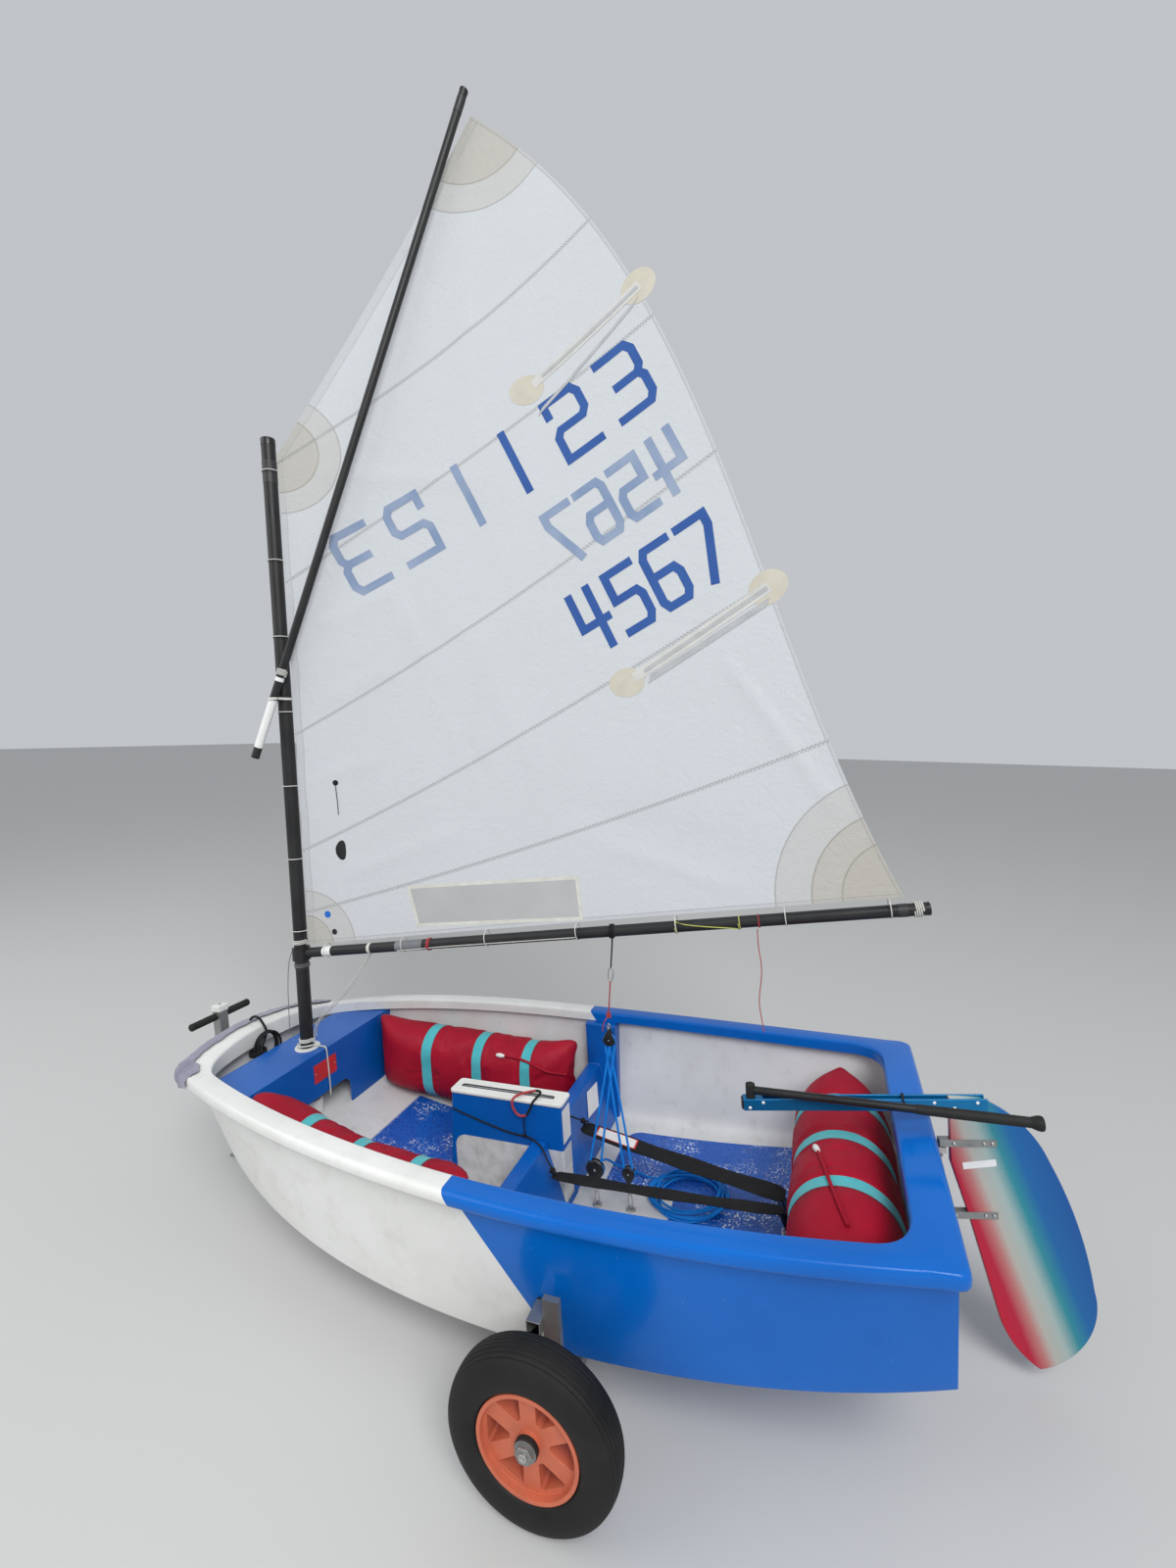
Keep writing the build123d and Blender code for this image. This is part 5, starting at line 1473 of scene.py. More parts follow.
def makeInside():
    corner, size = inside["plate"]
    plate = patch(corner, (0, -1, 0), (0, 0, 1), size, 0.0012, 0.002)
    piece("thwartPlate", plate, "hull", "labelRed", angle=50)
    x, y, z = corner
    screws = [rivet((x - 0.0012, y - dy, z + size[1] / 2), (-1, 0, 0), 0.0028, 0.0014)
              for dy in inside["plateScrews"]]
    piece("plateScrews", together(*screws), "hull", "steel", angle=50)
    quad = np.array(inside["frameLabel"])
    out = np.cross(quad[1] - quad[0], quad[3] - quad[0])
    out *= -np.sign(out[0]) / np.linalg.norm(out)
    steps = np.linspace(0, 1, 9)
    edge = np.concatenate([quad[k] + (quad[(k + 1) % 4] - quad[k]) * steps[1:, None] for k in range(4)])
    label = capped(np.array([edge + out * 0.0002, edge + out * 0.0012]))
    piece("frameLabel", label, "hull", "labelWhite", angle=50)
    label = patch(inside["caseLabel"][0], (0, -1, 0), (0, 0, 1), inside["caseLabel"][1], 0.0010, 0.003)
    piece("caseLabel", label, "hull", "labelWhite", angle=50)
    x, half, side, z = case["slot"]
    turn = np.linspace(0, pi, 7) - pi / 2
    ends = [(x + sign * (half + side * (cos(t) - 1)), sign * side * sin(t), z) for sign in (1, -1)
            for t in turn]
    cordCurve("slotGasket", ends, 0.0034, "hull", "rubber", closed=True)
    cords = {name: cordCurve(name, places, diameter, "hull", look)
             for name, (diameter, look, places) in inside["cords"].items()}
    for name, settings in inside["knots"].items():
        wraps(name, *settings, "hull", "cordBlack")
    cord, (diameter, _, places) = cords["footCord"], inside["cords"]["footCord"]
    print("foot cord", round(curveLength(cord), 4))


makeInside()
print("case, thwart and frame done")

# Hiking straps: padded, 66 and 40 wide, from the frame to a lashing over the eye on the floor
hiking = {
    "straps": (("starboard", -0.158, -0.036, 0.066), ("port", 0.104, 0.024, 0.040)),
    "front": (1.045, 0.128), "aft": (0.345, 0.092), "from": 0.045, "to": 0.985, "thickness": 0.0082,
    "sag": 0.006,
    "label": ((0.130, 0.320), 0.040), "lashing": 0.0042, "eye": (0.345, 0.0, 0.006),
    "wave": 0.0016,                                           # how far the webbing twists from flat
}


def hikingPoint(front, aft, t, across=0.0, up=0.0):
    (x0, z0), (x1, z1) = hiking["front"], hiking["aft"]
    t = np.asarray(t, float)
    sag = hiking["sag"] * 4 * t * (1 - t)
    return np.stack([x0 + (x1 - x0) * t + 0 * across, front + (aft - front) * t + across,
                     z0 + (z1 - z0) * t - sag + up], -1)


def makeHiking():
    loops = []
    h = hiking
    for number, (name, front, aft, width) in enumerate(h["straps"]):
        t = np.linspace(h["from"], h["to"], 90)[:, None]
        ends = np.minimum(1, np.minimum(t - h["from"], h["to"] - t) / 0.03)
        half = width / 2 * (0.62 + 0.38 * np.sin(pi / 2 * ends))
        turn = np.linspace(0, 2 * pi, 44, endpoint=False)
        c, s = np.cos(turn), np.sin(turn)
        across = half * np.sign(c) * np.abs(c) ** 0.55
        # stitched along each edge
        pinch = 1 - 0.42 * np.exp(-((np.abs(across) - (half - 0.006)) / 0.0018) ** 2)
        quilt = 1 - 0.10 * np.sin(pi * 11 * (t + 0.01 * c)) ** 8
        up = h["thickness"] / 2 * np.sign(s) * np.abs(s) ** 0.75 * pinch * quilt * (0.45 + 0.55 * ends)
        points = hikingPoint(front, aft, t + 0 * across, across, up + h["wave"] * np.sin(t * 19 + number) * c)
        strap = piece(name + "Strap", capped(points), "hull", "strapBlack",
                      ["hiking_straps"] if number == 0 else [], angle=60)
        if number == 0:                                       # a white label on a slightly larger red one
            (t0, t1), wide = h["label"]
            y = np.linspace(-wide / 2, wide / 2, 8)[None, :]
            lift = h["thickness"] / 2 + 0.0006
            wave = h["wave"] * np.sin(np.linspace(t0, t1, 24)[:, None] * 19) * y / (width / 2)
            for label, beyond, spread, low, slotName, look in (
                    ("strapLabel", 0, 1, 0, "gelcoat_white", "labelWhite"),
                    ("strapLabelEdge", 0.008, 1.14, 0.0003, "bag_red", "labelRed")):
                t = np.linspace(t0 - beyond, t1 + beyond, 24)[:, None] + 0 * y
                shape = sheetOf(hikingPoint(front, aft, t, y * spread, lift - low + wave))
                piece(label, shape, "hull", look, solid=False, angle=60)
        side = -1 if aft < 0 else 1
        x, y, z = h["eye"]
        for shift in (-0.0048, 0.0, 0.0048):                  # each strap's end is lashed to the eye
            x0 = x + shift
            loops.append([(x0, y + side * 0.004, z - 0.006), (x0 - 0.006, side * 0.010, 0.045),
                          (x0 + 0.012, side * 0.026 + shift, 0.085), (x0 + 0.020, side * 0.028, 0.0935),
                          (x0 + 0.026, side * 0.020 + shift, 0.085), (x0 + 0.010, side * 0.008, 0.045)])
    for k, loop in enumerate(loops):
        cordCurve("eyeLashing" + str(k), loop, h["lashing"], "hull", "cordBlack", ["strap_lashing"] if k == 0
                  else [],
                  closed=True, resolution=8)


makeHiking()
print("hiking straps done")

# Mainsheet: blocks, falls, tail and coil
tackle = {
    # the middle of each sheave, its radius, and half the block's thickness
    "ratchet": (0.918, -0.006, 0.092, 0.0285, 0.0100), "second": (0.812, -0.012, 0.092, 0.0200, 0.0085),
    "upper": (0.870, -0.070, 0.478, 0.0190, 0.0085), "upperTop": 0.545, "stropAt": 1.173,
    "plateRadius": 0.0155, "plateThickness": 0.004, "rope": 0.007, "reachOut": 1.62,
    # share of half thickness, scale
    "cheek": ((0.44, 0.94), (0.50, 1.0), (0.66, 1.02), (0.88, 0.97), (1.0, 0.84)),
    "groove": ((-0.36, 1), (-0.30, 1), (-0.10, 0.80), (0.10, 0.80), (0.30, 1), (0.36, 1)),
    "falls": (((0.900, -0.0125, 0.1135), (0.853, -0.0700, 0.4620)),
              ((0.934, -0.0060, 0.1120), (0.868, -0.0640, 0.4600)),
              ((0.826, -0.0120, 0.1060), (0.884, -0.0700, 0.4620)),
              ((0.800, -0.0120, 0.1080), (0.876, -0.0770, 0.4620))),
    "tail": ((0.912, -0.0163, 0.096), (0.914, -0.062, 0.086), (0.914, -0.112, 0.054), (0.908, -0.154, 0.012),
             (0.882, -0.182, -0.018), (0.832, -0.178, -0.0195), (0.784, -0.158, -0.0185),
             (0.742, -0.168, -0.0175),
             (0.716, -0.198, -0.012)),
    # turns of the coil: shift of their middle from coilPlace, half length and half breadth, layer
    "coilPlace": (0.650, -0.100), "steps": 16, "layer": 0.0074,
    "turns": ((0.000, 0.000, 0.118, 0.116, 0), (0.001, -0.001, 0.106, 0.103, 0),
              (0.000, 0.001, 0.094, 0.090, 0),
              (-0.012, 0.010, 0.104, 0.100, 1), (-0.006, -0.008, 0.120, 0.110, 1),
              (0.010, 0.002, 0.121, 0.097, 2),
              (0.014, 0.006, 0.106, 0.086, 2), (0.002, -0.012, 0.098, 0.092, 3)),
    # the strop's lines as (share of the way from boom to block, to port, forward), diameter, finish, closed
    "strop": {
        "stropLine0": (((-0.02, -0.0024, 0), (0.18, -0.00192, 0), (0.36, -0.0012, 0)), 0.0038, "cordBlack",
                       False),
        "stropLine1": (((-0.02, 0.0024, 0), (0.18, 0.00192, 0), (0.36, 0.0012, 0)), 0.0038, "cordBlack",
                       False),
        "stropSnap": (((0.35, 0, 0), (0.37, 0, 0.007), (0.43, 0, 0.0085), (0.50, 0, 0.006), (0.52, 0, 0),
                       (0.50, 0, -0.006),
                       (0.43, 0, -0.0085), (0.37, 0, -0.007)), 0.0036, "steel", True),
        "redLine0": (((0.51, -0.0022, 0), (0.70, -0.00132, 0), (0.92, -0.0022, 0)), 0.0032, "cordRed", False),
        "redLine1": (((0.51, 0.0022, 0), (0.70, 0.00132, 0), (0.92, 0.0022, 0)), 0.0032, "cordRed", False),
        "redTail": (((0.93, 0.004, 0), (0.95, 0.012, 0.006), (1.02, 0.014, 0.012), (1.10, 0.010, 0.014)),
                    0.0032,
                    "cordRed", False),
    },
    # wire rings over the upper block, from its top, and whether they are closed
    "rings": {
        "upperShackle": (((0, -0.005, -0.010), (0, -0.0062, 0), (0, -0.003, 0.010), (0, 0, 0.0125),
                          (0, 0.003, 0.010),
                          (0, 0.0062, 0), (0, 0.005, -0.010)), False),
        "upperLink": (((-0.005, 0, 0.006), (-0.006, 0, 0.014), (0, 0, 0.022), (0.006, 0, 0.014),
                       (0.005, 0, 0.006),
                       (0, 0, 0.003)), True),
    },
}


def blockForm(x, y, z, radius, half, foot, up=-1):
    # two cheeks with a teardrop outline, narrowing towards the foot, on one sheave
    turn = np.linspace(0, 2 * pi, 48, endpoint=False)
    shape = []
    for level, scale in tackle["cheek"]:
        across = radius * 1.02 * scale * np.sin(turn)
        rise = radius * 1.02 * scale * np.cos(turn)
        drawn = np.clip(-np.cos(turn), 0, 1) ** 1.6
        shape.append(np.stack([across * (1 - 0.66 * drawn), np.full(48, level * half),
                               rise - drawn * foot * 1.5], -1))
    cheeks = [capped(np.array(shape) * np.array([1, side, -up]) + np.array((x, y, z))) for side in (-1, 1)]
    profile = [(out * half, radius * 0.86 * deep) for out, deep in tackle["groove"]]
    sheave = capped(turned(profile, (x, y, z), (0, 1, 0), 40))
    pins = [rivet((x, y + side * half, z), (0, side, 0), radius * 0.13, 0.0012) for side in (-1, 1)]
    return together(*cheeks), sheave, together(*pins)


def makeBlock(key, shapes, body, nodeName):
    cheeks, sheave, pins = shapes
    piece(key + "Cheeks", cheeks, body, "plasticBlack", [nodeName], angle=50)
    piece(key + "Sheave", sheave, body, "tapeGrey", angle=40)
    piece(key + "Pins", pins, body, "steel", angle=50)


def shackleCurve(name, x, y, low, high, width, wire):
    mid = (low + high) / 2
    path = [(x - width, y, low + wire), (x - width * 1.25, y, mid), (x - width * 0.8, y, high - width * 0.5),
            (x, y, high + width * 0.15), (x + width * 0.8, y, high - width * 0.5), (x + width * 1.25, y, mid),
            (x + width, y, low + wire)]
    cordCurve(name, path, wire, "hull", "steel", resolution=8)


def makeBlocks():
    radius, thick = tackle["plateRadius"], tackle["plateThickness"]
    plate = [(0, radius), (thick * 0.6, radius), (thick, radius - 0.002)]
    for key in ("ratchet", "second"):
        x, y, z, radius, half = tackle[key]
        makeBlock(key, blockForm(x, y, z, radius, half, radius * 0.42), "hull", key + "_block")
        floor = float(along("bottom", x)) + hull["wall"]
        top = floor + thick
        shapes = [capped(turned(plate, (x, y, floor - 0.0005), (0, 0, 1), 40))]
        shapes += [rivet((x + dx, y, top - 0.0005), (0, 0, 1), 0.0032, 0.0014) for dx in (-0.0108, 0.0108)]
        shapes += [rodShape((x - 0.0088, y, top + 0.0032), (x + 0.0088, y, top + 0.0032), 0.0022, 12)]
        piece(key + "Plate", together(*shapes), "hull", "steel", angle=45)
        low = z - radius * tackle["reachOut"]
        middle = (top + low) / 2
        shackleCurve(key + "ShackleLow", x, y, top + 0.001, middle + 0.006, 0.0058, 0.0038)
        shackleCurve(key + "ShackleHigh", x, y - 0.0001, middle - 0.004, low + 0.008, 0.0050, 0.0034)
        rod = rodShape((x, y - 0.0075, low + 0.002), (x, y + 0.0075, low + 0.002), 0.0021, 12)
        piece(key + "ShackleRod", rod, "hull", "steel", angle=50)
    x, y, z, radius, half = tackle["upper"]
    makeBlock("upper", blockForm(x, y, z, radius, half, radius * 0.55, up=1), "rig", "upper_block")


boom = {"rootHeight": 0.713, "swing": 3.7, "lift": 5.4, "radius": 0.0175}
boomRoot = np.array(mastAt(boom["rootHeight"]), float)
boomWay = np.array([-cos(radians(boom["swing"])) * cos(radians(boom["lift"])), -sin(radians(boom["swing"]))
                    * cos(radians(boom["lift"])),
                    sin(radians(boom["lift"]))])


def boomAt(reach, side=0.0, drop=0.0):
    return boomRoot + np.multiply.outer(np.asarray(reach, float), boomWay) + np.array([0, side, -drop])


def makeStrop():
    x, y, z, radius, _ = tackle["upper"]
    top = boomAt(tackle["stropAt"], drop=0.0215)
    way = np.array((x, y, tackle["upperTop"] - 0.010)) - top

    def down(share, side=0.0, fore=0.0):
        return top + way * share + np.array((fore, side, 0))

    wraps("stropRing", boomAt(tackle["stropAt"]), boomWay, boom["radius"] + 0.0004, 0.0045, 3, 0.013, "rig",
          "cordBlack")
    for name, (places, diameter, look, closed) in tackle["strop"].items():
        points = [down(*place) for place in places]
        cordCurve(name, points, diameter, "rig", look, closed=closed, resolution=8 if look == "steel" else 10)
    wraps("redKnot", down(0.92), (0.1, 0, 1), 0.0042, 0.0036, 3.5, 0.016, "rig", "cordRed")
    high = np.array((x, y, z + radius * tackle["reachOut"]))
    for name, (places, closed) in tackle["rings"].items():
        cordCurve(name, high + np.array(places), 0.0030, "rig", "steel", closed=closed, resolution=8)


def makeSheet():
    for k, (low, high) in enumerate(tackle["falls"]):
        low, high = np.array(low), np.array(high)
        t = np.linspace(0, 1, 7)[:, None]
        bow = np.array((0.0015 * (-1) ** k, 0.0, 0.0)) * np.sin(pi * t)
        cordCurve("fall" + str(k), low + (high - low) * t + bow, tackle["rope"], "hull", "cordBlue",
                  ["mainsheet_falls"] if k == 0 else [])
    turn = np.linspace(radians(-25), radians(205), 12)
    # rope round a sheave
    for key, body, sign in (("ratchet", "hull", -1), ("second", "hull", -1), ("upper", "rig", 1)):
        x, y, z, radius, _ = tackle[key]
        reach = radius * 0.93
        path = np.stack([x + reach * np.cos(turn), np.full(12, y), z + sign * reach * np.sin(turn)], -1)
        cordCurve(key + "Turn", path, tackle["rope"], body, "cordBlue")
    route = [np.array(point) for point in tackle["tail"]]
    cx, cy = tackle["coilPlace"]
    start = atan2(route[-1][1] - cy, route[-1][0] - cx) - radians(8)
    count, turns = tackle["steps"], tackle["turns"]
    for k in range(count * (len(turns) - 1) + count // 2):
        share = k / count
        low, mix = int(share), share - int(share)
        high = min(low + 1, len(turns) - 1)
        ease = mix * mix * (3 - 2 * mix)
        dx, dy, a, b = [p * (1 - ease) + q * ease for p, q in zip(turns[low][:4], turns[high][:4])]
        # the rope climbs to the next layer late in a turn
        step = max(0.0, min(1.0, (mix - 0.72) / 0.28))
        layer = turns[low][4] + (turns[high][4] - turns[low][4]) * step * step * (3 - 2 * step)
        angle = start - 2 * pi * share
        px, py = cx + dx + a * cos(angle), cy + dy + b * sin(angle)
        floor = float(along("bottom", px)) + hull["wall"]
        route.append(np.array((px, py, floor + 0.0040 + tackle["layer"] * layer)))
    cord = cordCurve("mainsheetTail", route, tackle["rope"], "hull", "cordBlue",
                     ["mainsheet_tail", "mainsheet_coil"])
    print("mainsheet tail", round(curveLength(cord), 4))
    curveLength(cord)


makeBlocks()
makeStrop()
makeSheet()
print("tackle done")

# Painter and its hank
painter = {
    "route": [(2.312, -0.020, 0.424), (2.300, -0.020, 0.440), (2.276, -0.016, 0.447), (2.248, -0.010, 0.442),
              (2.224, -0.004, 0.424),
              (2.206, 0.000, 0.400)],
    "diameter": 0.009, "centre": (2.200, 0.006, 0.344),
    "turns": ((0.047, 0.058, -0.0165), (0.052, 0.060, -0.006), (0.044, 0.062, 0.0045),
              (0.050, 0.056, 0.0155)),
    "steps": 14,
}


def makePainter():
    route = [np.array(point) for point in painter["route"]]
    cx, cy, cz = painter["centre"]
    turns = painter["turns"]
    start = pi / 2
    for k in range(3, painter["steps"] * (len(turns) - 1) + painter["steps"] - 2):
        share = k / painter["steps"]
        low, high = int(share), min(int(share) + 1, len(turns) - 1)
        mix = share - low
        a, b, shift = [p * (1 - mix) + q * mix for p, q in zip(turns[low], turns[high])]
        angle = start - 2 * pi * share
        route.append(np.array((cx + shift, cy + a * cos(angle), cz + b * sin(angle))))
    cord = cordCurve("painterCord", route, painter["diameter"], "hull", "cordBlack",
                     ["painter", "painter_hank"])
    length = curveLength(cord)
    print("painter", round(length, 4))
    tie = wraps("hankTie", (cx - 0.0005, cy + 0.048, cz + 0.004), (0, 0.1, 1), 0.0245, 0.006, 3, 0.019,
                "hull", "cordBlack")


makePainter()

# Bow cover: a cloth sleeve over the outer part of the rail
cover = {
    "from": 2.203, "inset": 0.051, "hem": 0.3570, "lift": 0.0040, "rows": 34, "cols": 220, "fold": 0.0060,
    "corner": 0.0150,
    "thickness": 0.0012, "color": (0.270, 0.265, 0.340), "worn": (0.215, 0.210, 0.280), "front": 2.345,
    # where along the cloth it bunches at a corner, over what share, and how much
    "bunches": ((0.10, 0.060, 1.0), (0.90, 0.05, 0.45)),
}


def coverCloth():
    tree, shader = newMaterial("coverCloth", cover["color"], 0.8, **{"Sheen Weight": 0.3})
    place = node(tree, "TexCoord").outputs["Object"]
    patches = ramp(tree, noise(tree, place, 14, 5.0), 0.3, 0.7)
    tree.links.new(mixColors(tree, patches, cover["color"], cover["worn"]), shader.inputs["Base Color"])
    threads = [node(tree, "TexWave", {"Vector": place, "Scale": 190, "Distortion": 0.6},
                    bands_direction=way).outputs["Fac"]
               for way in ("X", "Y", "Z")]
    weave = plus(tree, plus(tree, threads[0], threads[1]), threads[2])
    soft = bump(tree, noise(tree, place, 45, 4.0), 1.0, 0.0022)
    tree.links.new(bump(tree, weave, 0.5, 0.0003, soft), shader.inputs["Normal"])


def coverPlan():   # places along the bow's outer edge, and the way out from it
    outer = gunwaleLoops()[0]
    start = int(np.argmax(outer[:, 0] > cover["from"]))
    share = (cover["from"] - outer[start - 1, 0]) / (outer[start, 0] - outer[start - 1, 0])
    first = outer[start - 1] + (outer[start] - outer[start - 1]) * share
    half = np.concatenate([[first], outer[start:]])
    plan = np.concatenate([half, half[::-1][1:] * np.array([1, -1])])
    arc = np.concatenate([[0], np.cumsum(np.linalg.norm(np.diff(plan, axis=0), axis=1))])
    s = np.linspace(0, arc[-1], cover["cols"])
    plan = np.column_stack([np.interp(s, arc, plan[:, 0]), np.interp(s, arc, plan[:, 1])])
    ways = np.gradient(plan, axis=0)
    ways /= np.linalg.norm(ways, axis=1)[:, None]
    outward = np.column_stack([ways[:, 1], -ways[:, 0]])
    outward *= np.sign((outward * (plan - np.array([1.9, 0]))).sum(1))[:, None]
    for again in range(6):
        outward = outward + np.roll(outward, 1, 0) + np.roll(outward, -1, 0)
        outward[0], outward[-1] = outward[1], outward[-2]
        outward /= np.linalg.norm(outward, axis=1)[:, None]
    return plan, outward, s / s[-1]


def makeCover():
    plan, outward, u = coverPlan()
    v = np.linspace(0, 1, cover["rows"])
    ends = np.clip(np.minimum(u, 1 - u) / 0.05, 0, 1)
    edge = gunwale["outerRound"]
    bend = edge * pi / 2
    points = np.zeros((len(u), len(v), 3))
    for i, along_ in enumerate(u):
        inset = cover["inset"] * (0.72 + 0.28 * ends[i])
        inset += 0.0025 * sin(along_ * 41) + 0.0018 * sin(along_ * 93 + 1)
        hem = cover["hem"] + 0.003 * sin(along_ * 37 + 2) - 0.006 * np.exp(-((along_ - 0.06) / 0.05) ** 2)
        crown = float(railTop(min(plan[i, 0], cover["front"]), plan[i, 1]))
        bunch = sum(much * np.exp(-((along_ - at) / wide) ** 2) for at, wide, much in cover["bunches"])
        # the section: flat over the top, round the edge, straight down to the hem
        flat, drop = inset - edge, crown - edge - hem
        for j, share in enumerate(v):
            d = share * (flat + bend + drop)
            if d < flat:
                inward, z = inset - d, None
            elif d < flat + bend:
                turn = (d - flat) / edge
                inward, z = edge * (1 - sin(turn)), crown - edge * (1 - cos(turn))
            else:
                inward, z = 0.0, crown - edge - (d - flat - bend)
            x, y = plan[i] - outward[i] * inward
            if z is None:
                z = float(railTop(min(x, cover["front"]), y))
            folds = sin(along_ * 58 + 3 * sin(along_ * 9) + 2.2 * share) * (0.30 + 0.70 * share ** 2)
            folds += 0.6 * sin(along_ * 131 + 5 * share) * share
            creased = bunch * (0.6 + 0.4 * sin(along_ * 210 + 4 * share))
            creased *= sin(pi * min(1, share * 1.05)) ** 1.5
            swell = cover["lift"] + cover["fold"] * (0.5 + 0.5 * folds) * (0.25 + 0.75 * share)
            swell = (swell + cover["corner"] * creased) * (0.55 + 0.45 * ends[i])
            tilt = min(1.0, max(0.0, (d - flat * 0.7) / (flat * 0.3 + bend))) * pi / 2
            x, y = np.array([x, y]) + outward[i] * swell * sin(tilt)
            points[i, j] = x, y, z + swell * cos(tilt) + 0.0003
    coverCloth()
    obj = piece("bowCloth", sheetOf(points), "hull", "coverCloth", ["bow_cover"], solid=False,
                angle=70)
    du = np.linalg.norm(np.diff(points, axis=0), axis=2)[:, :-1]
    dv = np.linalg.norm(np.diff(points, axis=1), axis=2)[:-1]
    flat = float(dv.sum(1).mean()), float(du.sum(0).mean())
    thick = obj.modifiers.new("cloth", "SOLIDIFY")
    thick.thickness, thick.offset = cover["thickness"], 1


makeCover()
print("bow cover and painter done")

# Spars: tapes, marks, plug and lashings
spars = {
    "mastLength": 2.374, "spritHeel": (2.064, 0.070, 1.431), "spritPeak": (1.228, -0.212, 3.538),
    "radius": {"mast": 0.023, "boom": 0.0175, "sprit": 0.0135},
    # tapes: from, to, finish
    "bands": {
        "mast": ((0.520, 0.552, "tapeBlack"), (2.225, 2.300, "tapeBlack")),
        "boom": ((0.101, 0.136, "labelWhite"), (0.288, 0.300, "cordWhite"), (0.402, 0.507, "tapeGrey"),
                 (1.985, 2.010, "tapeBlack")),
        "sprit": ((0.033, 0.208, "labelWhite"), (0.274, 0.288, "labelWhite"), (2.215, 2.262, "tapeBlack")),
    },
    # place along the spar, share of its radius
    "cap": ((-0.0010, 1.045), (0.0040, 1.045), (0.0060, 0.92)),
    "mastPlug": ((-0.022, 0.0236), (-0.0010, 0.0236), (0.0015, 0.0225), (0.0030, 0.0190), (0.0032, 0.0001)),
    # lashings: spar, place along it, radius, diameter, turns, spread, finish
    "lashings": {
        "boomRedLashing": ("boom", 0.530, 0.0178, 0.003, 3, 0.012, "cordRed"),
        "boomEndLashing": ("boom", 2.036, 0.0178, 0.004, 4, 0.022, "cordWhite"),
        "boomThinRed": ("boom", 1.616, 0.0178, 0.0025, 1.5, 0.004, "cordRed"),
        "jawLashing": ("mast", 0.620, 0.0233, 0.004, 3, 0.016, "cordWhite"),
        "spritStropTurns": ("sprit", 0.306, 0.0138, 0.004, 4, 0.022, "cordWhite"),
        "yellowTurnA": ("boom", 1.375, 0.0178, 0.003, 1.5, 0.006, "cordYellow"),
        "yellowTurnB": ("boom", 1.561, 0.0178, 0.003, 1.5, 0.006, "cordYellow"),
    },
    # downhaul and preventer, from the boom's ring (places from it) to the foot of the mast
    "ring": (0.294, 0.004, 0.019),
    "downhaulA": (((0, 0, 0), (0.10, 0.002, -0.13)), ((2.000, -0.010, 0.445), (1.993, -0.012, 0.395))),
    "downhaulB": (((0, -0.008, 0), (0.10, -0.010, -0.14)), ((2.004, -0.024, 0.440), (1.998, -0.028, 0.395))),
    "jawTail": ((2.030, 0.012, 0.735), (2.048, 0.020, 0.700), (2.058, 0.026, 0.600), (2.062, 0.028, 0.500),
                (2.064, 0.030, 0.420)),
    "outhaul": ((0.415, 0.0178, 0.011), (0.470, 0.0178, 0.011), (0.560, 0.0165, 0.008),
                (0.700, 0.0165, 0.008),
                (0.880, 0.0165, 0.008), (1.060, 0.0165, 0.008)),
    "yellow": (1.375, 1.390, 1.430, 1.480, 1.530, 1.555, 1.561),
}
mastFoot = np.array(sail["mastFoot"])
spritHeel = np.array(spars["spritHeel"])
spritWay = np.array(spars["spritPeak"]) - spritHeel
spritLength = float(np.linalg.norm(spritWay))
spritWay = spritWay / spritLength


def makeSpars():
    tip = spritHeel + spritWay * spritLength
    lines = {"mast": (mastFoot, mastWay), "boom": (boomRoot, boomWay), "sprit": (spritHeel, spritWay)}
    for name, (start, way) in lines.items():
        for k, (low, high, finish) in enumerate(spars["bands"][name]):
            sleeve(name + "Band" + str(k), start, way, low, high, spars["radius"][name] + 0.0007, finish)
    for name, start, way, spar in (("boomPlug", boomAt(2.060), boomWay, "boom"),
                                   ("spritTop", tip, spritWay, "sprit"),
                                   ("spritFoot", spritHeel, -spritWay, "sprit")):
        profile = [(out, spars["radius"][spar] * share) for out, share in spars["cap"]] + [(0.0062, 0.0001)]
        piece(name, sheetOf(turned(profile, start, way, 32), closeV=True), "rig",
              "plasticBlack", angle=40)
    top = mastFoot + mastWay * spars["mastLength"]
    plug = sheetOf(turned(spars["mastPlug"], top, mastWay, 40), closeV=True)
    piece("mastPlug", plug, "rig", "plasticBlack", angle=40)
    for name, (spar, at, radius, diameter, turns, spread, look) in spars["lashings"].items():
        start, way = lines[spar]
        wraps(name, start + way * at, way, radius, diameter, turns, spread, "rig", look)
    wraps("jawLashingLow", mastFoot + mastWay * 0.535, mastWay, 0.0240, 0.003, 3, 0.014, "rig", "cordGrey",
          "line_black")
    wraps("footLashing", mastAt(0.392), mastWay, 0.0233, 0.004, 3, 0.014, "rig", "cordWhite")
    cordCurve("outhaulLine", [boomAt(*place) for place in spars["outhaul"]], 0.003, "rig", "cordWhite")
    reach = np.array(spars["yellow"])                        # a line that winds half round the boom
    side, drop = np.cos(np.linspace(1.2, -1.2, 7)), np.sin(np.linspace(-0.9, 1.3, 7))
    path = boomAt(reach) + 0.0195 * np.stack([0 * reach, side, -drop], -1)
    cordCurve("yellowLine", path, 0.003, "rig", "cordYellow")
    ring = boomAt(*spars["ring"])
    for name in ("downhaulA", "downhaulB"):
        high, low = spars[name]
        cordCurve(name, [ring + np.array(place) for place in high] + list(low), 0.0036, "rig", "cordWhite")
    cordCurve("jawTail", spars["jawTail"], 0.0026, "rig", "cordGrey")


makeSpars()
print("spars done")

# Grips of the front handle
grip = {"bar": (2.438, 0.446), "from": 0.0225, "to": 0.127, "radius": 0.014, "bolt": 0.0065}


